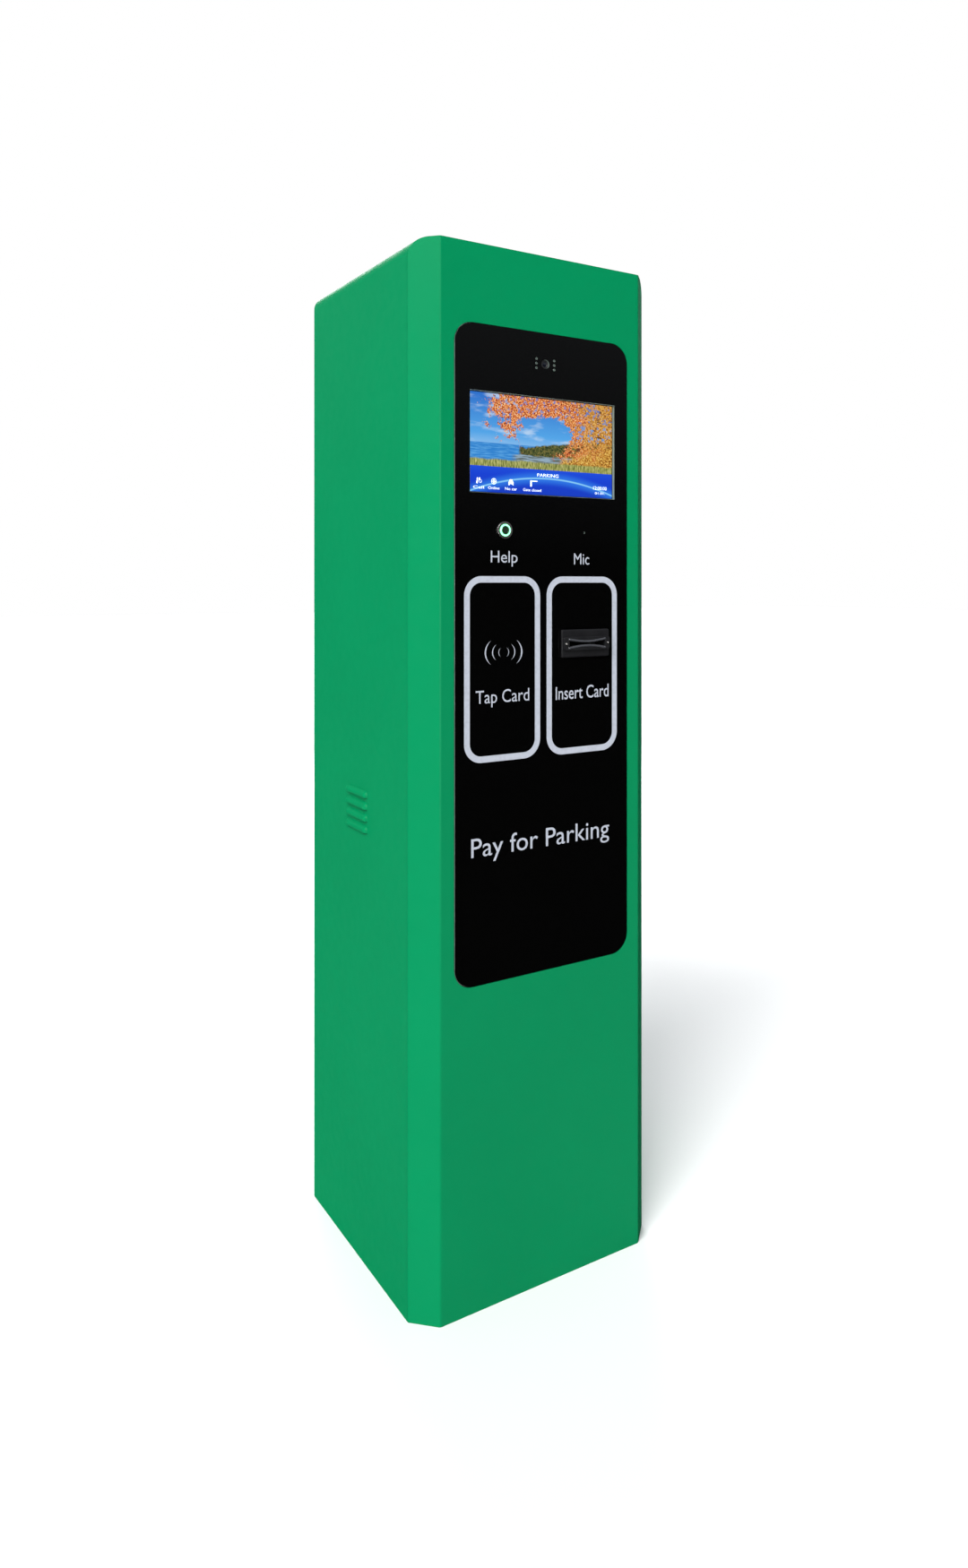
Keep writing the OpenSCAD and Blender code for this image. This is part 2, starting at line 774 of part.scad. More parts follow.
module nfc_board() color("#1d6b3a") at_column(-1) {
    w = nfc_w / 2 - nfc_wall - fit;
    h = nfc_h / 2 - nfc_wall - fit;
    y0 = panel_in + nfc_t - board_t - 1;
    span([-w, w], [y0, y0 + board_t], [nfc_z - h, nfc_z + h]);
    for (x = [-1, 1], z = [-1, 1]) rod_y(x * (w - 4), [panel_in + nfc_wall, y0], nfc_z + z * (h - 4), 5);
    span([-9, 9], [y0 + board_t, y0 + board_t + 2.5], [nfc_z - 9, nfc_z + 9]);
}

// ---- card reader ----

// Screws through the chassis's feet, from the middle of the reader
function reader_screws() = [for (side = [-1, 1], end = [-1, 1])
    [side * (reader_half + reader_foot / 2), card_z + end * reader_grip]];

// The card slot is pinched in the middle and opens out towards its ends
module slot_shape() difference() {
    square([slot_w, slot_end], center = true);
    for (side = [-1, 1]) translate([0, side * (slot_mid / 2 + slot_lip_r)]) circle(slot_lip_r, $fn = 200);
}

module card_bezel() color("#1b1c1e") at_column(1) difference() {
    union() {
        span(about(0, bezel_w), [-hd - bezel_t, -hd], about(card_z, bezel_h));
        translate([0, 0, card_z]) upright([-hd - mouth_out, -hd - bezel_t / 2])
            round_rect(mouth_w, mouth_h, mouth_corner);
        span(about(0, neck_w), [-hd - bezel_t / 2, reader_y0], about(card_z, neck_h));
    }
    translate([0, 0, card_z]) upright([-hd - mouth_out - cut, reader_y0 + cut]) slot_shape();
}

module card_chassis() color("#b4b8bb") at_column(1) difference() {
    y = [reader_y0 + fit, reader_y1];
    z = [reader_low, reader_high];
    wall_x = reader_half - reader_wall;
    union() {
        span([-reader_half, reader_half], y, [reader_low, reader_low + reader_wall]);
        both_sides() span([wall_x, reader_half], [carrier_in, reader_y1], z);
        both_sides() span([wall_x, reader_half + reader_foot], [carrier_in, carrier_in + foot_t], z);
    }
    for (y = [feed_y0, feed_y1]) rod_x(about(0, 2 * reader_half + cut), y, axle_z, axle_d + 2 * axle_run);
    rod_x([0, reader_half + cut], motor_y, motor_z, motor_pulley_d + 2);
    for (p = reader_screws()) rod_y(p[0], [carrier_in - cut, carrier_in + foot_t + cut], p[1], screw_hole);
}

// Two plates that lead the card, with windows in the lower one for the rollers, and the spacers between them
module card_guides() color("#26282a") at_column(1) difference() {
    y = [reader_y0 + fit, reader_y1 - 6];
    span(about(0, 2 * (reader_half - reader_wall - fit)), y, about(card_z, guide_gap + 2 * guide_t));
    span(about(0, 2 * guide_half), y + [-cut, cut], about(card_z, guide_gap));
    for (feed = [feed_y0, feed_y1], side = [-1, 1])
        span(about(side * roller_x, roller_w + 2), about(feed, 16), [card_z - guide_gap - cut, card_z]);
}

module reader_board() color("#1d6b3a") at_column(1) {
    top = reader_high + board_t;
    span([-reader_half, reader_half], [reader_y0 + 20, reader_y1 - 10], [reader_high, top]);
    span(about(-1, 26), about(motor_y, 24), [top, top + 3]);
    for (i = [0 : 2]) span(about(-24, 8), about(reader_y0 + 37 + i * 22, 14), [top, top + 8]);
}

module feed_motor() color("#8f9397") at_column(1) {
    x1 = reader_half - reader_wall;
    difference() {
        rod_x([x1 - motor_l, x1], motor_y, motor_z + motor_off, motor_d);
        span([x1 - motor_l - cut, x1 + cut], about(motor_y, 2 * motor_d),
            [motor_z - motor_d, card_z + guide_gap / 2 + guide_t + fit]);
        rod_x([x1 - motor_bore_l, x1 + cut], motor_y, motor_z, motor_shaft_d + 2 * axle_run);
    }
}

// One feed roller: an axle with two rubber tyres and a belt pulley outside the chassis
module feed_roller(y) color("#3a3c3f") at_column(1) {
    rod_x([-reader_half - 2, pulley_x0 + pulley_w], y, axle_z, axle_d);
    both_sides() rod_x([roller_x - roller_w / 2, roller_x + roller_w / 2], y, axle_z, roller_d);
    rod_x([pulley_x0, pulley_x0 + pulley_w], y, axle_z, pulley_d);
}

module feed_roller_front() feed_roller(feed_y0);
module feed_roller_rear() feed_roller(feed_y1);

module motor_pulley() color("#d7dadc") at_column(1) {
    shaft_x0 = reader_half - reader_wall - motor_bore_l + 1;
    rod_x([shaft_x0, pulley_x0 + pulley_w], motor_y, motor_z, motor_shaft_d);
    rod_x([pulley_x0, pulley_x0 + pulley_w], motor_y, motor_z, motor_pulley_d);
}

// Corner wheels of the belt's run: [y, z, pulley diameter]
belt_wheels = [[feed_y0, axle_z, pulley_d], [feed_y1, axle_z, pulley_d], [motor_y, motor_z, motor_pulley_d]];

// Straight run of belt between two wheels, on the outside of both
module belt_run(a, b, grow) {
    d = [b[0] - a[0], b[1] - a[1]];
    ra = a[2] / 2 + grow;
    rb = b[2] / 2 + grow;
    side = atan2(d[1], d[0]) - acos((ra - rb) / norm(d));
    n = [cos(side), sin(side)];
    polygon([[a[0], a[1]], [a[0], a[1]] + ra * n, [b[0], b[1]] + rb * n, [b[0], b[1]]]);
}

module belt_area(grow) {
    for (i = [0 : 2]) {
        translate([belt_wheels[i][0], belt_wheels[i][1]]) circle(belt_wheels[i][2] / 2 + grow);
        belt_run(belt_wheels[i], belt_wheels[(i + 1) % 3], grow);
    }
    polygon([for (w = belt_wheels) [w[0], w[1]]]);
}

module drive_belt() color("#111213") translate([column_x + pulley_x0 + (pulley_w - belt_w) / 2, 0, 0])
    rotate([90, 0, 90]) linear_extrude(belt_w) difference() {
        belt_area(belt_gap + belt_t);
        belt_area(belt_gap);
    }

// ---- equipment ----

function plate_places() = [for (x = [-1, 1], z = [plate_z0 + plate_grip, plate_z1 - plate_grip])
    [x * (plate_half - rail_w / 2), z]];

module equipment_rails() color("#b9bec2") difference() {
    side = wall_in - fit;
    both_sides() {
        span([side - rail_w, side], [plate_y - rail_t, plate_y], [rail_z0, rail_z1]);
        span([side - rail_t, side], [plate_y - rail_t, plate_y + rail_leg], [rail_z0, rail_z1]);
    }
    for (p = plate_places()) rod_y(p[0], [plate_y - rail_t - cut, plate_y + cut], p[1], bolt_d + fit);
}

module equipment_plate() color("#c3c8cb") difference() {
    span([-plate_half, plate_half], [plate_y, plate_face], [plate_z0, plate_z1]);
    for (p = plate_places()) rod_y(p[0], [plate_y - cut, plate_face + cut], p[1], bolt_d + 2 * fit);
    span([-30, 30], [plate_y - cut, plate_face + cut], [plate_z0 + 25, plate_z0 + 65]);
}

module din_rail() color("#d0d3d5") difference() {
    h = din_h / 2;
    n = din_neck / 2;
    y0 = plate_face;
    y1 = plate_face + din_lift;
    translate([-din_half, 0, din_z]) rotate([90, 0, 90]) linear_extrude(2 * din_half) polygon([
        [y0, -n], [y0, n], [y1 - din_t, n], [y1 - din_t, h], [y1, h], [y1, n - din_t],
        [y0 + din_t, n - din_t], [y0 + din_t, -n + din_t], [y1, -n + din_t], [y1, -h],
        [y1 - din_t, -h], [y1 - din_t, -n]]);
    for (x = [-1, 1]) rod_y(x * (din_half - 15), [y0 - cut, y0 + din_t + cut], din_z, 5);
}

module circuit_breaker() color("#e4e6e8") difference() {
    union() {
        span(about(breaker_x, breaker_w), [plate_face + din_lift, breaker_y1], about(din_z, breaker_h));
        span(about(breaker_x, breaker_w), [breaker_y1 - cut, breaker_y2], about(din_z, breaker_nose_h));
    }
    span(about(breaker_x, lever_w + 2 * lever_run), [lever_y - lever_r - lever_run, breaker_y2 + cut],
        about(din_z, 2 * (lever_r + lever_l)));
    for (x = [-1, 1], z = [-1, 1]) translate([breaker_x + x * breaker_w / 4, 0, din_z + z * breaker_screw])
        rod_y(0, [breaker_y1 - 8, breaker_y1 + cut], 0, 6);
}

module breaker_lever() color("#1f5fae") {
    rod_x(about(breaker_x, lever_w), lever_y, din_z, 2 * lever_r);
    translate([0, lever_y, din_z]) rotate([lever_on, 0, 0])
        span(about(breaker_x, lever_w - 2), [0, lever_r + lever_l], about(0, lever_t));
}

module terminal_blocks() color("#a7adb2") for (i = [0 : terminal_n - 1]) {
    x0 = terminal_x + i * terminal_step;
    y0 = plate_face + din_lift;
    h = terminal_h / 2;
    shoulder = y0 + terminal_y * 0.45;
    neck = y0 + terminal_y * 0.75;
    top = y0 + terminal_y;
    difference() {
        translate([x0, 0, din_z]) rotate([90, 0, 90]) linear_extrude(terminal_w) polygon([
            [y0, -h], [shoulder, -h], [neck, -h / 2], [top, -h / 3], [top, h / 3], [neck, h / 2],
            [shoulder, h], [y0, h]]);
        for (z = [-1, 1])
            rod_y(x0 + terminal_w / 2, [y0 + terminal_y * 0.3, neck], din_z + z * h * 0.72, 3.6);
    }
}

module power_supply() color("#aeb3b7") difference() {
    left = psu_x - psu_w / 2;
    front = plate_face + psu_t;
    span(about(psu_x, psu_w), [plate_face, front], about(psu_z, psu_h));
    span([left - cut, left + 16], [plate_face + 14, front + cut], about(psu_z, psu_h - 8));
    for (i = [0 : psu_slots - 1])
        span([left + 32 + i * 16, left + 40 + i * 16], [front - 2, front + cut], about(psu_z, 60));
}

module controller_box() color("#3b3f43") difference() {
    low = box_z - box_h / 2;
    span(about(box_x, box_w), [plate_face, plate_face + box_t], about(box_z, box_h));
    for (i = [-2 : 2])
        span(about(box_x + i * box_port, 22), [plate_face + 10, plate_face + 24], [low - cut, low + 9]);
}

module controller_heatsink() color("#8d9398") {
    y0 = plate_face + box_t;
    w = box_w - 20;
    step = (w - fin_t) / (fin_n - 1);
    z = about(box_z, box_h - 24);
    span(about(box_x, w), [y0, y0 + fin_base], z);
    for (i = [0 : fin_n - 1])
        span(about(box_x - (w - fin_t) / 2 + i * step, fin_t), [y0 + fin_base / 2, y0 + fin_h], z);
}

// Pitch of the windows in the duct's sides
function duct_step() = (din_z - din_h - plate_z0 - 2 * duct_rise) / duct_slots;

module cable_duct() color("#9aa0a5") difference() {
    z = [plate_z0 + duct_rise, din_z - din_h];
    step = duct_step();
    top = plate_face + duct_t;
    span(about(duct_x, duct_w), [plate_face, top], z);
    span(about(duct_x, duct_w - 2 * duct_wall), [plate_face + duct_wall, top - duct_wall], z + [-cut, cut]);
    for (i = [0 : duct_slots - 1]) span(about(duct_x, duct_w + 2 * cut),
        [plate_face + 12, top - duct_wall - 1], about(z[0] + duct_first + i * step, step / 2));
}

// ---- wiring ----

function unit(a, b) = (b - a) / norm(b - a);

// Quarter bend about a corner, from one axis direction into another
module bend(corner, along, out, d, r) {
    side = cross(along, out);
    middle = corner - r * along + r * out;
    multmatrix([for (k = [0 : 2]) [along[k], -out[k], -side[k], middle[k]]])
        rotate_extrude(angle = 90) translate([r, 0]) circle(d = d);
}

// A lead through a list of corners that lie along the axes, with a bend of the same radius at each
module lead(route, d, r) {
    last = len(route) - 1;
    for (i = [0 : last - 1]) {
        along = unit(route[i], route[i + 1]);
        start = route[i] + (i > 0 ? r : 0) * along;
        end = route[i + 1] - (i < last - 1 ? r : 0) * along;
        length = norm(end - start);
        turn = [along[2] < 0 ? 180 : along[1] != 0 ? -90 * along[1] : 0, along[0] * 90, 0];
        translate(start) rotate(turn) cylinder(h = length, d = d);
        if (i < last - 1) bend(route[i + 1], along, unit(route[i + 1], route[i + 2]), d, r);
    }
}

module wiring() color("#2b2d30") {
    duct_in = duct_x - duct_w / 2 + duct_wall;
    window = plate_face + duct_t / 2;
    row = plate_z0 + duct_rise + duct_first;
    step = duct_step();
    // power: breaker to supply, supply to duct
    for (i = [0, 1]) lead([
        [breaker_x + i * 1.6 * lead_d, psu_lead_y, din_z - breaker_h / 2],
        [breaker_x + i * 1.6 * lead_d, psu_lead_y, psu_z + psu_h / 2]], lead_d, lead_bend);
    supply_z = row + 11 * step;
    lead([[psu_x + psu_w / 2, window, supply_z], [duct_in, window, supply_z]], loom_d, lead_bend);
    // terminals to duct
    for (i = [0 : 2]) let (
        x = terminal_x + (5 + 3 * i) * terminal_step + terminal_w / 2,
        y = plate_face + din_lift + 1.6 * lead_d * (1 + i),
        z = psu_z + psu_h / 2 + lead_d)
        lead([[x, y, din_z - terminal_h / 2], [x, y, z], [duct_in, y, z]], lead_d, lead_bend);
    // controller to duct
    for (i = [-1 : 1]) let (
        x = box_x + (i + 1) * box_port,
        y = plate_face + 17,
        z = row + i * (lead_d + fit))
        lead([[x, y, box_z - box_h / 2 + 9], [x, y, z], [duct_in, y, z]], lead_d, lead_bend);
    // duct to the screen and to the card reader
    lead([
        [duct_x + 4, window, din_z - din_h - 20], [duct_x + 4, window, rail_z1 + 60],
        [duct_x + 4, -hd + 55, rail_z1 + 60], [duct_x + 4, -hd + 55, screen_z - 25],
        [45, -hd + 55, screen_z - 25], [45, lcd_post_end + board_t + 5, screen_z - 25]], loom_d, 14);
    lead([
        [duct_x - 6, window + 8, din_z - din_h - 20], [duct_x - 6, window + 8, reader_high + 22],
        [duct_x - 6, reader_y0 + 81, reader_high + 22], [column_x - 24, reader_y0 + 81, reader_high + 22],
        [column_x - 24, reader_y0 + 81, reader_high + board_t + 8]], lead_d, lead_bend);
}

// ---- speaker, fan and card bin ----

// Places on a side wall, [y, z], of the studs that hold the fan on one side and the speaker on the other
function side_places() = [for (y = [-1, 1], z = [-1, 1]) [louvre_y + y * fan_hole, louvre_z + z * fan_hole]];

module speaker_frame() difference() {
    back = speaker_x - speaker_plate;
    throat = back - speaker_depth;
    union() {
        span([back, speaker_x], about(louvre_y, speaker_w), about(louvre_z, speaker_w));
        translate([throat, louvre_y, louvre_z]) rotate([0, 90, 0])
            cylinder(h = speaker_depth, d1 = speaker_throat + 6, d2 = speaker_mouth + 4);
        rod_x([throat - magnet_t, throat], louvre_y, louvre_z, magnet_d);
    }
    translate([throat, louvre_y, louvre_z]) rotate([0, 90, 0])
        cylinder(h = speaker_depth, d1 = speaker_throat, d2 = speaker_mouth);
    rod_x([back - cut / 2, speaker_x + cut], louvre_y, louvre_z, speaker_mouth);
    for (p = side_places()) rod_x([back - cut, speaker_x + cut], p[0], p[1], fan_stud_d + 2 * fit);
}

module speaker_cone() {
    h = speaker_depth - 1;
    d1 = speaker_throat - 1;
    d2 = speaker_mouth - 3;
    translate([speaker_x - speaker_plate - speaker_depth + fit, louvre_y, louvre_z]) rotate([0, 90, 0])
        difference() {
            cylinder(h = h, d1 = d1, d2 = d2);
            translate([0, 0, cone_wall]) cylinder(h = h, d1 = d1 - 2 * cone_wall, d2 = d2 - 2 * cone_wall);
        }
}

module speaker() color("#26282a") {
    speaker_frame();
    speaker_cone();
}

module fan_frame() color("#1d1e20") difference() {
    end = fan_x + fan_t;
    union() {
        difference() {
            span([fan_x, end], about(louvre_y, fan_w), about(louvre_z, fan_w));
            rod_x([fan_x - cut, end + cut], louvre_y, louvre_z, fan_bore);
        }
        rod_x([end - hub_t, end], louvre_y, louvre_z, fan_hub_d);
        for (a = [0, 120, 240]) translate([0, louvre_y, louvre_z]) rotate([a, 0, 0])
            span([end - 4, end], about(0, 5), [fan_hub_d / 3, fan_bore / 2 + 1]);
    }
    for (p = side_places()) rod_x([fan_x - cut, end + cut], p[0], p[1], fan_stud_d + 2 * fit);
    rod_x([end - hub_t - cut, end - 1], louvre_y, louvre_z, axle_d + 2 * axle_run);
}

module fan_rotor() color("#2a2c2f") translate([0, louvre_y, louvre_z]) {
    x0 = fan_x + rotor_gap;
    x1 = fan_x + fan_t - hub_t - 1;
    root = fan_hub_d / 2 - 3;
    rod_x([x0, x1], 0, 0, fan_hub_d - 1);
    rod_x([x1 - cut, fan_x + fan_t - 1.5], 0, 0, axle_d);
    for (i = [0 : blade_n - 1]) rotate([i * 360 / blade_n, 0, 0])
        translate([(x0 + x1) / 2, 0, root]) rotate([0, 0, blade_tilt])
            translate([-blade_t / 2, -blade_w / 2, 0]) cube([blade_t, blade_w, rotor_d / 2 - root]);
}

module fan_guard() color("#c9ccce") {
    x = [fan_x + fan_t, fan_x + fan_t + guard_t];
    for (d = [36, 50, 64, 78]) difference() {
        rod_x(x, louvre_y, louvre_z, d);
        rod_x(x + [-cut, cut], louvre_y, louvre_z, d - 2 * guard_wire);
    }
    difference() {
        for (a = [45, 135]) translate([0, louvre_y, louvre_z]) rotate([a, 0, 0])
            span(x, about(0, fan_hole * 2 * sqrt(2) + guard_eye), about(0, guard_bar));
        for (p = side_places()) rod_x(x + [-cut, cut], p[0], p[1], fan_stud_d + 2 * fit);
    }
}

// Weld studs on the side walls, and the nuts that hold the fan and the speaker on them
module side_fixings() color("#c9ccce") for (p = side_places()) {
    fan_end = fan_x + fan_t + guard_t;
    speaker_end = speaker_x - speaker_plate;
    rod_x([-wall_in, fan_end + fan_nut_t + stud_over], p[0], p[1], fan_stud_d);
    hex_x([fan_end, fan_end + fan_nut_t], p[0], p[1], fan_nut_af);
    rod_x([speaker_end - fan_nut_t - stud_over, wall_in], p[0], p[1], fan_stud_d);
    hex_x([speaker_end - fan_nut_t, speaker_end], p[0], p[1], fan_nut_af);
}

module plate_bolts() color("#c9ccce") for (p = plate_places()) {
    rod_y(p[0], [plate_y - rail_t - stud_over, plate_face + fit], p[1], bolt_d);
    hex_y(p[0], [plate_face, plate_face + bolt_head_t], p[1], bolt_af);
}

module card_bin() color("#b4b8bb") at_column(1) difference() {
    y = [bin_back - bin_d, bin_back];
    span(about(0, bin_w), y, [bin_z, bin_z + bin_h]);
    span(about(0, bin_w - 2 * bin_wall), y + [bin_wall, -bin_wall], [bin_z + bin_wall, bin_z + bin_h + cut]);
}

module bin_bracket() color("#b9bec2") at_column(1) {
    x = about(0, bin_w);
    front = bin_back - bin_d - fit;
    span(x, [front - bracket_t, plate_y], [bin_z - bracket_t, bin_z]);
    span(x, [plate_y - bracket_t, plate_y], [bin_z - bracket_drop, bin_z]);
    span(x, [front - bracket_t, front], [bin_z - bracket_t, bin_z + bracket_lip]);
}

// ---- rear door ----

module door_panel() color("#0e9c5e") difference() {
    inner_x = door_x - door_t;
    hole_x = door_x - door_lip;
    span([-door_x, door_x], [door_y, hd], [door_z, door_top]);
    span([-inner_x, inner_x], [door_y + door_t, hd - door_t], [door_z + door_t, door_top - door_t]);
    span([-hole_x, hole_x], [door_y - cut, door_y + door_t + cut], [door_z + door_lip, door_top - door_lip]);
    for (z = [door_z, door_top - door_t]) rod_z(pin_x, pin_y, [z - cut, z + door_t + cut], bush_d);
    rod_y(lock_x, [hd - door_t - cut, hd + cut], lock_z, lock_d + fit);
}

module door_seal() color("#17181a") {
    y = [stop_y + stop_t + 0.5, door_y];
    difference() {
        span([-seal_x - seal_w / 2, seal_x + seal_w / 2], y,
            [door_z + door_lip - seal_w - 2, door_top - door_lip + seal_w + 2]);
        span([-seal_x + seal_w / 2, seal_x - seal_w / 2], y + [-cut, cut],
            [door_z + door_lip - 2, door_top - door_lip + 2]);
    }
}

module hinge_bushes() color("#b08d3f")
    for (end = [[door_z, 0], [door_top, 1]]) translate([pin_x, pin_y, end[0]]) mirror([0, 0, end[1]])
        difference() {
            union() {
                cylinder(h = bush_l, d = bush_d - pin_run);
                translate([0, 0, door_t]) cylinder(h = bush_flange_t, d = bush_flange_d);
            }
            // the flange's sides are flat where the door's skin and its lip leave less room
            for (y = [hd - door_t - pin_y - fit, door_y + door_t - pin_y + fit - bush_flange_d])
                translate([-bush_flange_d, y, door_t - cut]) cube([2 * bush_flange_d, bush_flange_d, bush_l]);
            translate([0, 0, -cut]) cylinder(h = bush_l + 2 * cut, d = pin_d + 2 * pin_run);
        }

module lock_housing() color("#c9ccce") difference() {
    union() {
        rod_y(lock_x, [hd, hd + lock_head_t], lock_z, lock_head_d);
        rod_y(lock_x, [cam_y + cam_gap, hd + fit], lock_z, lock_d);
    }
    rod_y(lock_x, [cam_y - cut, hd + lock_head_t + cut], lock_z, lock_core_d + 2 * lock_run);
}

module lock_nut() color("#b4b8bb") difference() {
    hex_y(lock_x, [hd - door_t - lock_nut_t, hd - door_t], lock_z, lock_nut_af);
    rod_y(lock_x, [hd - door_t - lock_nut_t - cut, hd - door_t + cut], lock_z, lock_d + fit);
}

// The plug that the key turns, and the screw that holds the cam on its end
module lock_core() color("#d8dadc") difference() {
    union() {
        rod_y(lock_x, [cam_y + fit, hd + lock_head_t - 0.5], lock_z, lock_core_d);
        rod_y(lock_x, [cam_y - cam_t - lock_screw_t, cam_y + cut], lock_z, lock_screw_d / 2);
        rod_y(lock_x, [cam_y - cam_t - lock_screw_t, cam_y - cam_t - fit], lock_z, lock_screw_d);
    }
    span([lock_x - 1, lock_x + 1], [hd + lock_head_t - 8, hd + lock_head_t + cut], [lock_z - 4, lock_z + 4]);
}

// The cam hangs straight down while the door is unlocked
module lock_cam() color("#c2c6c9") difference() {
    union() {
        rod_y(lock_x, [cam_y - cam_t, cam_y], lock_z, cam_w);
        span(about(lock_x, cam_w), [cam_y - cam_t, cam_y], [lock_z - cam_l, lock_z + 0]);
    }
    rod_y(lock_x, [cam_y - cam_t - cut, cam_y + cut], lock_z, lock_screw_d / 2 + fit / 2);
}

base_tray();
body_shell();
front_shell();
rear_frame();
hinge_pins();
fascia_panel();
fascia_gasket();
fascia_carrier();
fascia_fixings();
lcd_glass();
lcd_housing();
lcd_clips();
lcd_board();
camera_board();
camera_barrel();
camera_glass();
ir_lamps();
button_body();
button_ring();
button_nut();
button_spring();
button_cap();
microphone();
nfc_housing();
nfc_board();
card_bezel();
card_chassis();
card_guides();
reader_board();
feed_motor();
drive_belt();
feed_roller_front();
feed_roller_rear();
motor_pulley();
equipment_rails();
equipment_plate();
din_rail();
circuit_breaker();
breaker_lever();
terminal_blocks();
power_supply();
controller_box();
controller_heatsink();
cable_duct();
wiring();
speaker();
fan_frame();
fan_rotor();
fan_guard();
side_fixings();
plate_bolts();
card_bin();
bin_bracket();
door_panel();
door_seal();
hinge_bushes();
lock_housing();
lock_nut();
lock_core();
lock_cam();
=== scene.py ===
"""Looks of a parking pay station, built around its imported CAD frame.

Every sub-assembly is a class that holds its sizes as fields and has methods that
build and dress its pieces. Lengths are in metres, in the frame of the CAD model:
the origin is at the middle of the base, -Y is the front and +Z is up.
"""

import logging
import math
from collections.abc import Callable, Iterable, Sequence
from dataclasses import dataclass
from enum import Enum
from typing import ClassVar

import bpy
from mathutils import Matrix, Vector


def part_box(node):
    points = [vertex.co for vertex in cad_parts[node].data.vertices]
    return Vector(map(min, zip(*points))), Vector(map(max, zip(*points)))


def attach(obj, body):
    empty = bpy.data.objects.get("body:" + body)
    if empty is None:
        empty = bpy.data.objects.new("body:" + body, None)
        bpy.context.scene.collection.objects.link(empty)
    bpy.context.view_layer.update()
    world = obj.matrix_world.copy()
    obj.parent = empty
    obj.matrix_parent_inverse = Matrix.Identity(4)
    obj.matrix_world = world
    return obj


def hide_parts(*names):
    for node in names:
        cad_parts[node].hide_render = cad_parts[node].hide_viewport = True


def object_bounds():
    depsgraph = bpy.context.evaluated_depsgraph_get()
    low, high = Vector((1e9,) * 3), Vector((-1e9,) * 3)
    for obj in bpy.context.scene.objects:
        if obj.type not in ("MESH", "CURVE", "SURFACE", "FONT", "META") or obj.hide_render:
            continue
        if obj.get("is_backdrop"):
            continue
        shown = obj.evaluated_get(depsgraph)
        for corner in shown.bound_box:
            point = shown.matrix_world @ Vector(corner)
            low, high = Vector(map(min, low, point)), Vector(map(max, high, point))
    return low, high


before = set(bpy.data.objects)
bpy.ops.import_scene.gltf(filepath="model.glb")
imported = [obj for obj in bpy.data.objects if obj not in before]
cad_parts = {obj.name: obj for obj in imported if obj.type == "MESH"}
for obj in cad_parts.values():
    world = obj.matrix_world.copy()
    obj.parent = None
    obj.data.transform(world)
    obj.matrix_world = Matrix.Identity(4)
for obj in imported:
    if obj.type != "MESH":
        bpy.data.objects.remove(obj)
CAD_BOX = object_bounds()

LOG = logging.getLogger("pay_station")
MM = 0.001
MERGE = 1e-5
NEAR = MM / 10
PRINT_DEPTH = 0.06 * MM

Colour = tuple[float, float, float]
Point = tuple[float, float, float]
Stop = tuple[float, Colour]
Piece = bpy.types.Object
Socket = bpy.types.NodeSocket
Material = bpy.types.Material


def shade(red: int, green: int, blue: int) -> Colour:
    """Turns a display colour into a linear one.

    Args:
        red: Red, 0 to 255.
        green: Green, 0 to 255.
        blue: Blue, 0 to 255.

    Returns:
        The linear colour, each part 0 to 1.
    """

    def linear(value: int) -> float:
        """Linear value of one 8-bit part."""
        part = value / 255
        return part / 12.92 if part <= 0.04045 else ((part + 0.055) / 1.055) ** 2.4

    return linear(red), linear(green), linear(blue)


def stops(*rows: tuple[float, int, int, int]) -> tuple[Stop, ...]:
    """Turns rows of a place, red, green and blue into a ramp's stops."""
    return tuple((at, shade(*colour)) for at, *colour in rows)


class Axis(Enum):
    """The way a turned piece or a brushed grain runs."""

    X = (0.0, math.pi / 2, 0.0)
    FRONT = (math.pi / 2, 0.0, 0.0)
    BACK = (-math.pi / 2, 0.0, 0.0)


class Body(Enum):
    """The moving bodies of the frame."""

    CABINET = "cabinet"
    DOOR = "door"
    LOCK = "lock"
    HELP_CAP = "help_cap"
    FAN = "fan_blades"


# ---- hand tools ----


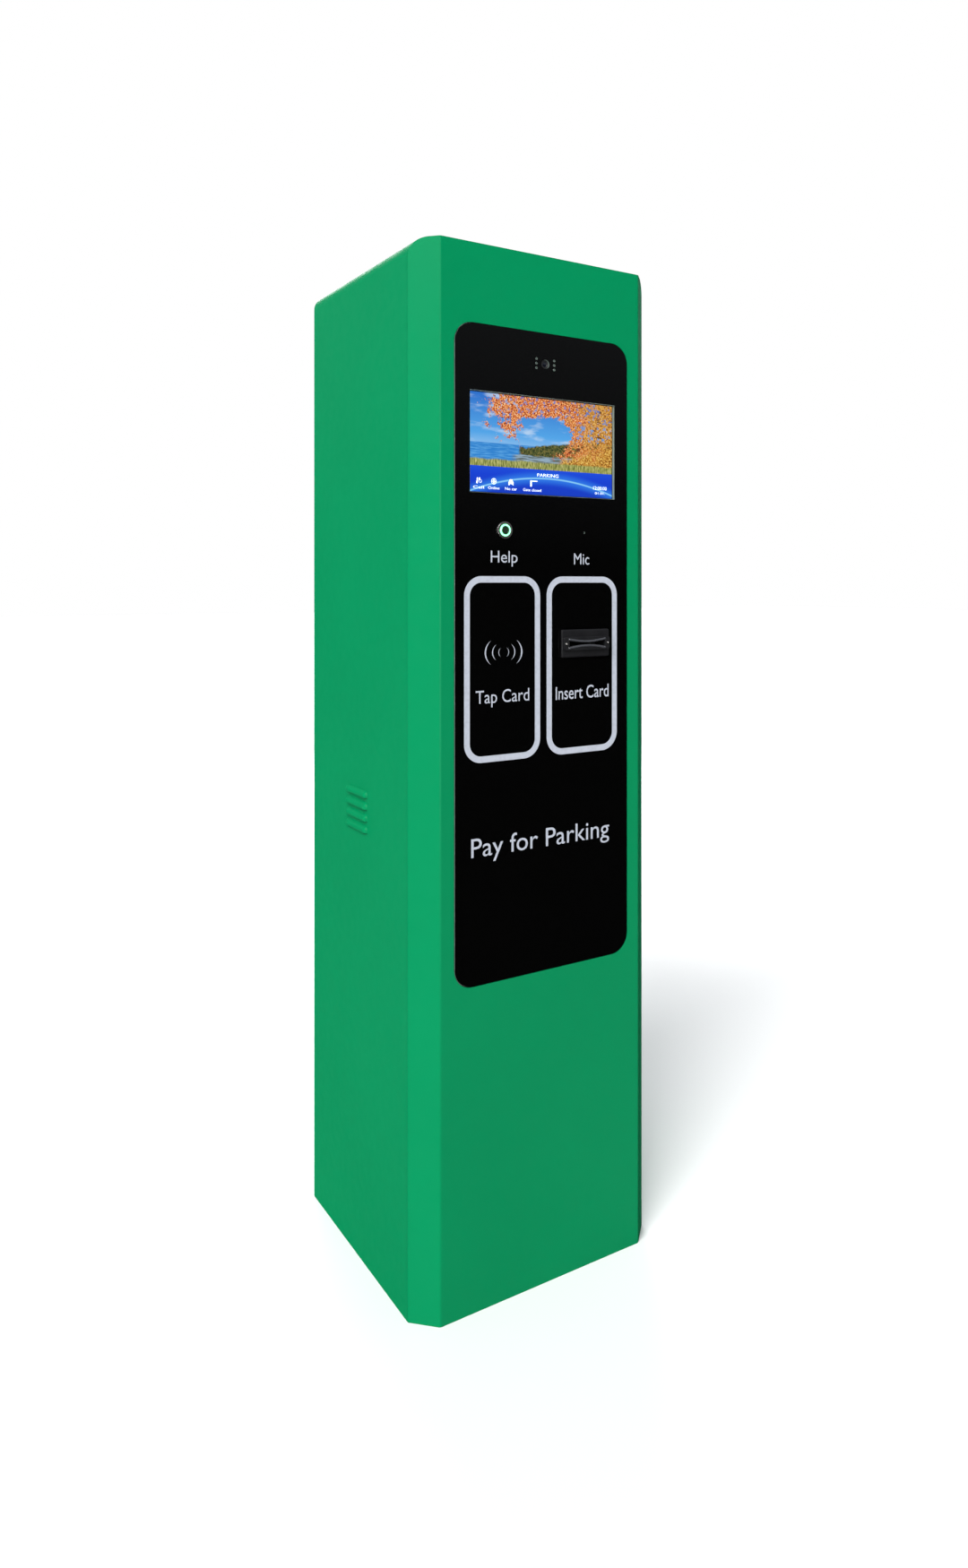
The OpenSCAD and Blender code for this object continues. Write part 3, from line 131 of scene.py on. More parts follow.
class Bench:
    """Blender's modelling operators, used on one piece at a time."""

    @staticmethod
    def take(piece: Piece) -> None:
        """Selects one piece alone and makes it active."""
        bpy.ops.object.select_all(action="DESELECT")
        piece.select_set(True)
        bpy.context.view_layer.objects.active = piece

    @staticmethod
    def settle(piece: Piece) -> None:
        """Puts the piece's place, turn and scale into its mesh."""
        Bench.take(piece)
        bpy.ops.object.transform_apply(location=True, rotation=True, scale=True)

    @staticmethod
    def named(name: str) -> Piece:
        """Names the piece that an operator has just added."""
        piece = bpy.context.view_layer.objects.active
        piece.name = name
        piece.data.name = name
        return piece

    @staticmethod
    def block(name: str, low: Sequence[float], high: Sequence[float]) -> Piece:
        """Adds a box between two corners.

        Args:
            name: The piece's name.
            low: Its lowest corner.
            high: Its highest corner.

        Returns:
            The piece, with its place in its mesh.
        """
        bpy.ops.object.select_all(action="DESELECT")
        low, high = Vector(low), Vector(high)
        bpy.ops.mesh.primitive_cube_add(size=1, location=(low + high) / 2, scale=high - low)
        piece = Bench.named(name)
        Bench.settle(piece)
        return piece

    @staticmethod
    def mark(piece: Piece, level: int, chosen: Sequence[bool]) -> None:
        """Enters edit mode with some vertices, edges or faces selected.

        Args:
            piece: The piece to edit.
            level: 0 for vertices, 1 for edges, 2 for faces.
            chosen: Whether each of them is selected.
        """
        Bench.take(piece)
        mesh = piece.data
        bpy.context.tool_settings.mesh_select_mode = [level == i for i in range(3)]
        groups = (mesh.vertices, mesh.edges, mesh.polygons)
        for group in groups:
            group.foreach_set("select", [False] * len(group))
        groups[level].foreach_set("select", list(chosen))
        if level:
            held = [False] * len(mesh.vertices)
            for part, wanted in zip(groups[level], chosen, strict=True):
                if wanted:
                    for corner in part.vertices:
                        held[corner] = True
            mesh.vertices.foreach_set("select", held)
        bpy.ops.object.mode_set(mode="EDIT")

    @staticmethod
    def done() -> None:
        """Leaves edit mode."""
        bpy.ops.object.mode_set(mode="OBJECT")

    @staticmethod
    def mark_faces(piece: Piece, test: Callable[[Vector, Vector], bool]) -> None:
        """Enters edit mode with the faces whose middle and normal pass the test selected."""
        Bench.mark(piece, 2, [test(face.center, face.normal) for face in piece.data.polygons])

    @staticmethod
    def round_edges(
        piece: Piece,
        width: float,
        steps: int = 2,
        test: Callable[[Vector, Vector], bool] | None = None,
        sharpness: float = 30,
    ) -> None:
        """Rounds the piece's sharp edges.

        Args:
            piece: The piece to work on.
            width: How far the rounding runs along each face.
            steps: Faces across the rounding.
            test: Says from an edge's two ends whether it is rounded; all are by default.
            sharpness: The least angle of a sharp edge, in degrees.
        """
        Bench.mark(piece, 1, [False] * len(piece.data.edges))
        bpy.ops.mesh.edges_select_sharp(sharpness=math.radians(sharpness))
        Bench.done()
        points = piece.data.vertices
        chosen = [
            edge.select
            and (test is None or test(points[edge.vertices[0]].co, points[edge.vertices[1]].co))
            for edge in piece.data.edges
        ]
        Bench.mark(piece, 1, chosen)
        bpy.ops.mesh.bevel(offset=width, segments=steps, affect="EDGES", clamp_overlap=False)
        Bench.done()

    @staticmethod
    def finish_shape(piece: Piece, angle: float = 35) -> None:
        """Points the faces outwards and smooths the shading.

        Args:
            piece: The piece to work on.
            angle: The least angle that stays sharp, in degrees.
        """
        Bench.mark(piece, 2, [True] * len(piece.data.polygons))
        bpy.ops.mesh.remove_doubles(threshold=MERGE)
        bpy.ops.mesh.normals_make_consistent(inside=False)
        Bench.done()
        bpy.ops.object.shade_smooth_by_angle(angle=math.radians(angle))

    @staticmethod
    def smooth_flats(piece: Piece, angle: float = 38) -> None:
        """Smooths the roundings and keeps the flats flat.

        Args:
            piece: The piece to work on.
            angle: The least angle that stays sharp, in degrees.
        """
        Bench.take(piece)
        bpy.ops.object.shade_smooth_by_angle(angle=math.radians(angle))
        modifier = piece.modifiers.new("flats", "WEIGHTED_NORMAL")
        modifier.weight = 100
        modifier.keep_sharp = True
        bpy.ops.object.modifier_apply(modifier=modifier.name)

    @staticmethod
    def turned(
        name: str,
        centre: Sequence[float],
        axis: Axis,
        profile: Sequence[tuple[float, float]],
        sides: int = 48,
        hollow: bool = False,
    ) -> Piece:
        """Makes a turned piece from a circle that is extruded and resized step by step.

        Args:
            name: The piece's name.
            centre: Where the profile's zero height is.
            axis: The way that the heights run.
            profile: Radius and height of each ring, in order.
            sides: Faces around it.
            hollow: True for a profile that closes on itself around a bore.

        Returns:
            The piece, with its place in its mesh.
        """
        bpy.ops.object.select_all(action="DESELECT")
        radius, height = profile[0]
        bpy.ops.mesh.primitive_circle_add(
            vertices=sides,
            radius=radius,
            fill_type="NOTHING" if hollow else "NGON",
            location=(0, 0, height),
        )
        piece = Bench.named(name)
        Bench.settle(piece)
        level = 1 if hollow else 2
        parts = piece.data.edges if hollow else piece.data.polygons
        Bench.mark(piece, level, [True] * len(parts))
        rings = list(profile[1:]) + ([profile[0]] if hollow else [])
        extrude = bpy.ops.mesh.extrude_edges_move if hollow else bpy.ops.mesh.extrude_region_move
        for ring_radius, ring_height in rings:
            extrude(TRANSFORM_OT_translate={"value": (0, 0, ring_height - height)})
            share = ring_radius / radius
            bpy.ops.transform.resize(value=(share, share, 1), center_override=(0, 0, ring_height))
            radius, height = ring_radius, ring_height
        Bench.done()
        piece.rotation_euler = axis.value
        piece.location = centre
        Bench.settle(piece)
        Bench.finish_shape(piece)
        return piece

    @staticmethod
    def bow(name: str, middle: Point, half: float, sag: float, thick: float, side: int) -> Piece:
        """Makes a round bar bent in a shallow bow, by spinning its section.

        Args:
            name: The piece's name.
            middle: The middle of the bow.
            half: Half its length across.
            sag: How far its ends stand away from its middle.
            thick: The radius of its section.
            side: 1 for ends that point up, -1 for ends that point down.

        Returns:
            The bar.
        """
        radius = (half * half + sag * sag) / (2 * sag)
        tilt = math.asin(half / radius)
        bpy.ops.object.select_all(action="DESELECT")
        bpy.ops.mesh.primitive_circle_add(
            vertices=16,
            radius=thick,
            fill_type="NGON",
            location=(-half, 0, sag),
            rotation=(0, math.pi / 2 + tilt, 0),
        )
        piece = Bench.named(name)
        Bench.settle(piece)
        Bench.mark(piece, 2, [True])
        bpy.ops.mesh.spin(steps=28, angle=2 * tilt, center=(0, 0, radius), axis=(0, 1, 0))
        bpy.ops.mesh.select_all(action="SELECT")
        bpy.ops.mesh.fill_holes(sides=0)
        Bench.done()
        piece.rotation_euler = (0, 0 if side > 0 else math.pi, 0)
        piece.location = middle
        Bench.settle(piece)
        Bench.finish_shape(piece)
        Bench.round_edges(piece, 0.6 * thick, 3, sharpness=60)
        Bench.smooth_flats(piece)
        return piece

    @staticmethod
    def screw(name: str, seat: Sequence[float], axis: Axis, radius: float) -> Piece:
        """Makes a domed screw head with a socket.

        Args:
            name: The piece's name.
            seat: The middle of the face that it sits on.
            axis: The way that it points.
            radius: Its radius.

        Returns:
            The screw head.
        """
        tall = 0.7 * radius
        profile = (
            (radius, -0.1 * tall),
            (radius, 0.35 * tall),
            (0.86 * radius, 0.8 * tall),
            (0.56 * radius, tall),
            (0.5 * radius, 0.98 * tall),
            (0.44 * radius, 0.3 * tall),
        )
        return Bench.turned(name, seat, axis, profile, 18)

    @staticmethod
    def slab(
        name: str,
        low: Sequence[float],
        high: Sequence[float],
        corner: float,
        steps: int = 6,
        ease: float = 0.0,
    ) -> Piece:
        """Makes a plate that faces the front, with rounded corners and eased edges.

        Args:
            name: The piece's name.
            low: Its lowest corner.
            high: Its highest corner.
            corner: Radius of its four corners.
            steps: Faces around each corner.
            ease: Width of the rounding along its front edge, or 0 for none.

        Returns:
            The piece, with its place in its mesh.
        """
        piece = Bench.block(name, low, high)
        Bench.round_edges(piece, corner, steps, lambda a, b: abs(a.y - b.y) > MM / 100)
        if ease:
            front = min(low[1], high[1])
            Bench.round_edges(
                piece, ease, 2, lambda a, b: max(a.y, b.y) < front + MERGE, sharpness=60
            )
        Bench.finish_shape(piece)
        return piece

    @staticmethod
    def joined(name: str, parts: Sequence[Piece]) -> Piece:
        """Joins several parts into one piece.

        Args:
            name: The piece's name.
            parts: What it is joined from.

        Returns:
            The piece.
        """
        bpy.ops.object.select_all(action="DESELECT")
        for part in parts:
            part.select_set(True)
        bpy.context.view_layer.objects.active = parts[0]
        if len(parts) > 1:
            bpy.ops.object.join()
        return Bench.named(name)

    @staticmethod
    def from_node(node: str, name: str) -> Piece:
        """Copies a CAD node's mesh and merges it into closed, flat-faced solids.

        Args:
            node: The CAD node.
            name: The new piece's name.

        Returns:
            The new piece. The CAD node is left as it is.
        """
        piece = bpy.data.objects.new(name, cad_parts[node].data.copy())
        piece.data.name = name
        bpy.context.scene.collection.objects.link(piece)
        Bench.take(piece)
        bpy.ops.mesh.customdata_custom_splitnormals_clear()
        Bench.mark(piece, 2, [True] * len(piece.data.polygons))
        bpy.ops.mesh.remove_doubles(threshold=MERGE)
        bpy.ops.mesh.dissolve_limited(angle_limit=math.radians(0.5))
        Bench.done()
        return piece

    @staticmethod
    def faced(node: str, name: str, face: float, side: int, width: float, steps: int) -> Piece:
        """Copies a CAD node and rounds the edges of its outer face.

        Args:
            node: The CAD node.
            name: The new piece's name.
            face: Where its outer face is, from front to back.
            side: -1 if that face is its front, 1 if it is its rear.
            width: Width of the rounding.
            steps: Faces across the rounding.

        Returns:
            The new piece.
        """
        piece = Bench.from_node(node, name)
        Bench.round_edges(
            piece,
            width,
            steps,
            lambda a, b: min(side * (a.y - face), side * (b.y - face)) > -NEAR,
            sharpness=50,
        )
        Bench.smooth_flats(piece)
        return piece

    @staticmethod
    def lettering(
        name: str, words: str, middle: Point, width: float, height: float, weight: float
    ) -> Piece:
        """Makes raised generic lettering that faces the front.

        Args:
            name: The piece's name.
            words: What it says.
            middle: The middle of the lettering, on the surface that carries it.
            width: Its whole width.
            height: Its whole height.
            weight: How much its strokes are thickened, as a share of the letter size.

        Returns:
            The lettering as a mesh.
        """
        bpy.ops.object.select_all(action="DESELECT")
        bpy.ops.object.text_add()
        text = bpy.context.view_layer.objects.active
        text.data.body = words
        text.data.offset = weight
        text.data.extrude = 0.02
        text.data.resolution_u = 4
        bpy.ops.object.convert(target="MESH")
        piece = Bench.named(name)
        corners = [Vector(corner) for corner in piece.bound_box]
        low = Vector(map(min, *corners))
        size = Vector(map(max, *corners)) - low
        piece.data.transform(Matrix.Translation(-(low + size / 2)))
        piece.scale = (width / size.x, height / size.y, PRINT_DEPTH / size.z)
        piece.rotation_euler = Axis.FRONT.value
        piece.location = Vector(middle) - Vector((0, PRINT_DEPTH / 2, 0))
        Bench.settle(piece)
        return piece


def on_body(
    piece: Piece,
    body: Body,
    finish: "Finish",
    slot: str = "",
    stands_for: Iterable[str] = (),
) -> Piece:
    """Dresses a finished piece and lets it ride on a body.

    Args:
        piece: The piece, complete and in place.
        body: The body that it moves with.
        finish: Its main finish.
        slot: Not used.
        stands_for: The CAD nodes that it replaces.

    Returns:
        The same piece.
    """
    if not piece.data.materials:
        piece.data.materials.append(finish.material())
    else:
        piece.data.materials[0] = finish.material()
    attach(piece, body.value)
    for node in stands_for:
        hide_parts(node)
    LOG.info("%s: %d faces on %s", piece.name, len(piece.data.polygons), body.value)
    return piece


def group(name: str, parts: Sequence[Piece], finish: "Finish", slot: str = "") -> None:
    """Joins parts into one dressed piece that stays with the cabinet.

    Args:
        name: The piece's name.
        parts: What it is joined from.
        finish: Its finish.
        slot: Handed on to on_body.
    """
    on_body(Bench.joined(name, parts), Body.CABINET, finish, slot)


def dress(finish: "Finish", *nodes: str) -> None:
    """Gives CAD nodes that stay shown a finish in all their slots.

    Args:
        finish: The finish.
        *nodes: The CAD nodes.
    """
    for node in nodes:
        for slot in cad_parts[node].material_slots:
            slot.material = finish.material()
        LOG.info("%s: %s", node, finish.name)


# ---- finishes ----


class Graph:
    """A material's nodes, with one method for each kind that the finishes use."""

    def __init__(self, name: str) -> None:
        """Starts a material with a Principled shader and nothing else."""
        self.material = bpy.data.materials.new(name)
        self.material.use_nodes = True
        self.tree = self.material.node_tree
        self.tree.nodes.clear()
        self.shader = self.tree.nodes.new("ShaderNodeBsdfPrincipled")
        output = self.tree.nodes.new("ShaderNodeOutputMaterial")
        self.tree.links.new(self.shader.outputs["BSDF"], output.inputs["Surface"])
        self.normal: Socket | None = None

    def node(self, kind: str, inputs: dict, **settings: object) -> bpy.types.Node:
        """Adds a node.

        Args:
            kind: Its type, without the ShaderNode in front.
            inputs: Values or sockets for its inputs, by name or number.
            **settings: Its other settings.

        Returns:
            The node.
        """
        made = self.tree.nodes.new("ShaderNode" + kind)
        for setting, value in settings.items():
            setattr(made, setting, value)
        for key, value in inputs.items():
            self.feed(made.inputs[key], value)
        return made

    def feed(self, socket: Socket, value: object) -> None:
        """Links a socket to an input, or sets the input to a value.

        Args:
            socket: The input.
            value: The socket or the value.
        """
        if isinstance(value, Socket):
            self.tree.links.new(value, socket)
        elif isinstance(value, tuple) and len(value) == 3 and socket.type == "RGBA":
            socket.default_value = (*value, 1.0)
        else:
            socket.default_value = value

    def set(self, **values: object) -> None:
        """Feeds the shader's inputs; an underscore in a name stands for a space."""
        for key, value in values.items():
            self.feed(self.shader.inputs[key.replace("_", " ")], value)

    def place(self, scale: Point = (1, 1, 1), shift: Point = (0, 0, 0)) -> Socket:
        """Object coordinates, stretched and shifted."""
        coordinates = self.node("TexCoord", {})
        return self.node(
            "Mapping",
            {"Vector": coordinates.outputs["Object"], "Scale": scale, "Location": shift},
        ).outputs["Vector"]

    def noise(self, scale: float, detail: float = 2, vector: Socket | None = None) -> Socket:
        """A cloudy pattern, 0 to 1, with that many cells a metre."""
        return self.node(
            "TexNoise", {"Vector": vector or self.place(), "Scale": scale, "Detail": detail}
        ).outputs["Fac"]

    def cells(self, scale: float, output: str, vector: Socket | None = None) -> Socket:
        """A pattern of cells; the output is Color or Distance."""
        return self.node(
            "TexVoronoi", {"Vector": vector or self.place(), "Scale": scale}
        ).outputs[output]

    def sum(self, operation: str, first: object, second: object = 0.0) -> Socket:
        """What a Math node makes of two values."""
        return self.node("Math", {0: first, 1: second}, operation=operation).outputs[0]

    def times(self, first: object, second: object) -> Socket:
        """A product of two values."""
        return self.sum("MULTIPLY", first, second)

    def plus(self, first: object, second: object) -> Socket:
        """Two values added."""
        return self.sum("ADD", first, second)

    def minus(self, first: object, second: object) -> Socket:
        """The second value taken from the first."""
        return self.sum("SUBTRACT", first, second)

    def spread(
        self, value: Socket, low: float, high: float, to_low: float, to_high: float
    ) -> Socket:
        """Moves a value smoothly from one span to another and clamps it there."""
        return self.node(
            "MapRange",
            {0: value, 1: low, 2: high, 3: to_low, 4: to_high},
            interpolation_type="SMOOTHSTEP",
        ).outputs[0]

    def cloud(
        self, scale: float, detail: float, low: float, high: float, to_low: float, to_high: float
    ) -> Socket:
        """A cloudy pattern, moved smoothly from one span to another."""
        return self.spread(self.noise(scale, detail), low, high, to_low, to_high)

    def mix(self, share: object, first: object, second: object) -> Socket:
        """A colour between two colours.

        Args:
            share: How much of the second, 0 to 1.
            first: The first colour.
            second: The second colour.

        Returns:
            The mixed colour.
        """
        made = self.node("Mix", {}, data_type="RGBA")
        self.feed(made.inputs[0], share)
        self.feed(made.inputs[6], first)
        self.feed(made.inputs[7], second)
        return made.outputs[2]

    def ramp(self, value: Socket, stops: Sequence[Stop]) -> Socket:
        """A colour taken from a row of stops.

        Args:
            value: Where along the row.
            stops: The row.

        Returns:
            The colour.
        """
        made = self.node("ValToRGB", {"Fac": value})
        row = made.color_ramp.elements
        while len(row) < len(stops):
            row.new(1.0)
        for element, (at, colour) in zip(row, stops, strict=True):
            element.position = at
            element.color = (*colour, 1.0)
        return made.outputs["Color"]

    def relief(self, height: Socket, depth: float, strength: float = 1.0) -> None:
        """Lays a bump over the bumps laid before.

        Args:
            height: Its pattern.
            depth: Its depth.
            strength: How much it shows, 0 to 1.
        """
        inputs = {"Height": height, "Distance": depth, "Strength": strength}
        if self.normal is not None:
            inputs["Normal"] = self.normal
        self.normal = self.node("Bump", inputs).outputs["Normal"]
        self.set(Normal=self.normal)


class Finish:
    """A finish that mixes its material once and then hands out the same one."""

    name: str
    made: ClassVar[dict[str, Material]] = {}

    def material(self) -> Material:
        """The finish's material."""
        if self.name not in Finish.made:
            Finish.made[self.name] = self.mixed()
        return Finish.made[self.name]

    def mixed(self) -> Material:
        """Mixes the material."""
        raise NotImplementedError


@dataclass(frozen=True)
class PowderCoat(Finish):
    """Baked powder paint with a fine orange peel."""

    name: str
    colour: Colour
    peel: float = 0.05 * MM
    gloss: float = 0.08

    def mixed(self) -> Material:
        """Mixes the paint, its speckle and its peel."""
        graph = Graph(self.name)
        deep = tuple(0.9 * part for part in self.colour)
        light = tuple(min(1.0, 1.07 * part) for part in self.colour)
        speckle = graph.cloud(1500, 2, 0.35, 0.65, 0.0, 1.0)
        drift = graph.cloud(5, 3, 0.3, 0.7, 0.0, 1.0)
        base = graph.mix(graph.times(speckle, 0.55), self.colour, deep)
        graph.set(
            Base_Color=graph.mix(graph.times(drift, 0.35), base, light),
            Roughness=graph.cloud(60, 3, 0.3, 0.7, 0.36, 0.44),
            Specular_IOR_Level=self.gloss,
        )
        graph.relief(graph.noise(520, 3), self.peel, 0.8)
        graph.relief(graph.noise(1700, 2), self.peel * 0.35, 0.6)
        return graph.material


@dataclass(frozen=True)
class Moulded(Finish):
    """Moulded plastic or rubber with a spark-eroded grain."""

    name: str
    colour: Colour
    rough: float = 0.5
    grain: float = 0.03 * MM
    pitch: float = 2200
    gloss: float = 0.4

    def mixed(self) -> Material:
        """Mixes the plastic and its grain."""
        graph = Graph(self.name)
        lit = tuple(min(1.0, 1.25 * part + 0.004) for part in self.colour)
        flow = graph.cloud(14, 4, 0.3, 0.7, 0.0, 0.6)
        fleck = graph.cloud(self.pitch, 2, 0.4, 0.7, 0.0, 0.5)
        graph.set(
            Base_Color=graph.mix(fleck, graph.mix(flow, self.colour, lit), lit),
            Roughness=graph.cloud(45, 4, 0.3, 0.7, self.rough - 0.06, self.rough + 0.08),
            Specular_IOR_Level=self.gloss,
        )
        graph.relief(graph.cells(self.pitch, "Distance"), self.grain, 0.6)
        return graph.material


class Grain(Enum):
    """How a metal's surface was worked; each value stretches its pattern."""

    BRUSHED_ACROSS = (6.0, 900.0, 900.0)
    BRUSHED_UP = (900.0, 900.0, 6.0)
    BRUSHED_IN = (900.0, 6.0, 900.0)
    ROLLED = (120.0, 120.0, 120.0)


@dataclass(frozen=True)
class Metal(Finish):
    """Bare or plated metal, brushed or rolled."""

    name: str
    colour: Colour
    grain: Grain = Grain.ROLLED
    rough: float = 0.34
    spangle: float = 0.0

    def mixed(self) -> Material:
        """Mixes the metal, its grain and its spangle."""
        graph = Graph(self.name)
        dull = tuple(0.72 * part for part in self.colour)
        lines = graph.noise(1.0, 3, graph.place(self.grain.value))
        tone = graph.mix(graph.spread(lines, 0.3, 0.7, 0.0, 0.6), self.colour, dull)
        if self.spangle:
            flakes = graph.node(
                "SeparateColor", {"Color": graph.cells(self.spangle, "Color")}
            ).outputs["Red"]
            tone = graph.mix(graph.times(flakes, 0.45), tone, dull)
        stains = graph.cloud(22, 4, 0.35, 0.75, 0.0, 1.0)
        graph.set(
            Base_Color=tone,
            Metallic=1.0,
            Roughness=graph.plus(graph.times(stains, 0.14), self.rough),
        )
        graph.relief(lines, 0.012 * MM, 0.7)
        return graph.material


@dataclass(frozen=True)
class GlossSheet(Finish):
    """Polished acrylic painted black behind, with a little dust and handling."""

    name: str
    colour: Colour
    gloss: float = 0.3

    def mixed(self) -> Material:
        """Mixes the sheet, its smudges and its dust."""
        graph = Graph(self.name)
        smudge = graph.cloud(11, 5, 0.5, 0.8, 0.0, 1.0)
        dust = graph.cloud(900, 2, 0.74, 0.8, 0.0, 0.25)
        graph.set(
            Base_Color=graph.mix(dust, self.colour, shade(70, 70, 72)),
            Roughness=graph.plus(graph.times(smudge, 0.12), 0.05),
            Specular_IOR_Level=self.gloss,
        )
        graph.relief(graph.noise(9, 2), 0.05 * MM, 0.15)
        return graph.material


@dataclass(frozen=True)
class SheetEdge(Finish):
    """The polished cut edge of the acrylic sheet, which carries light."""

    name: str
    colour: Colour

    def mixed(self) -> Material:
        """Mixes the edge and its saw lines."""
        graph = Graph(self.name)
        lines = graph.noise(1.0, 2, graph.place((60, 2400, 60)))
        graph.set(
            Base_Color=graph.mix(
                graph.spread(lines, 0.35, 0.65, 0, 0.5), self.colour, shade(48, 58, 54)
            ),
            Roughness=graph.spread(lines, 0.3, 0.7, 0.12, 0.3),
        )
        graph.relief(lines, 0.01 * MM, 0.5)
        return graph.material


@dataclass(frozen=True)
class Ink(Finish):
    """Screen-printed ink with a faint mesh texture."""

    name: str
    colour: Colour

    def mixed(self) -> Material:
        """Mixes the ink."""
        graph = Graph(self.name)
        thin = tuple(0.86 * part for part in self.colour)
        graph.set(
            Base_Color=graph.mix(
                graph.cloud(260, 3, 0.4, 0.75, 0.0, 0.8), self.colour, thin
            ),
            Roughness=graph.cloud(90, 3, 0.3, 0.7, 0.38, 0.52),
        )
        graph.relief(graph.cells(4200, "Distance"), 0.006 * MM, 0.5)
        return graph.material


@dataclass(frozen=True)
class Lit(Finish):
    """A lamp's diffuser, glowing in cloudy patches between a bright and a dim colour."""

    name: str
    colour: Colour
    dim: Colour
    power: float

    def mixed(self) -> Material:
        """Mixes the diffuser and its glow."""
        graph = Graph(self.name)
        patch = graph.cloud(420, 2, 0.3, 0.7, 0.0, 0.7)
        glow = graph.mix(patch, self.colour, self.dim)
        graph.set(
            Base_Color=glow,
            Roughness=graph.cloud(160, 2, 0.3, 0.7, 0.3, 0.5),
            Emission_Color=glow,
            Emission_Strength=self.power,
        )
        return graph.material


@dataclass(frozen=True)
class Clear(Finish):
    """Clear or tinted glass or plastic."""

    name: str
    colour: Colour
    rough: float = 0.03

    def mixed(self) -> Material:
        """Mixes the glass and its coating."""
        graph = Graph(self.name)
        graph.set(
            Base_Color=graph.mix(
                graph.cloud(300, 3, 0.4, 0.7, 0.0, 0.4),
                self.colour,
                tuple(0.7 * part for part in self.colour),
            ),
            Roughness=graph.cloud(240, 2, 0.3, 0.7, self.rough, self.rough + 0.04),
            IOR=1.5,
            Transmission_Weight=0.6,
            Coat_Weight=0.6,
            Coat_Roughness=0.04,
        )
        return graph.material


@dataclass(frozen=True)
class Laminate(Finish):
    """A circuit board's solder mask over its tracks and planes."""

    name: str
    colour: Colour
    track: Colour

    def mixed(self) -> Material:
        """Mixes the mask, its tracks and its pads."""
        graph = Graph(self.name)
        lanes = graph.node(
            "TexBrick",
            {
                "Vector": graph.node(
                    "Mapping",
                    {"Vector": graph.place(), "Rotation": (math.pi / 2, 0, 0)},
                ).outputs["Vector"],
                "Scale": 90.0,
                "Mortar Size": 0.045,
                "Color1": self.colour,
                "Color2": tuple(0.8 * part for part in self.colour),
                "Mortar": self.track,
            },
        )
        pads = graph.spread(graph.cells(330, "Distance"), 0.1, 0.16, 1.0, 0.0)
        graph.set(
            Base_Color=graph.mix(pads, lanes.outputs["Color"], shade(196, 186, 150)),
            Roughness=graph.spread(pads, 0.0, 1.0, 0.38, 0.28),
        )
        graph.relief(lanes.outputs["Fac"], -0.03 * MM, 0.8)
        return graph.material


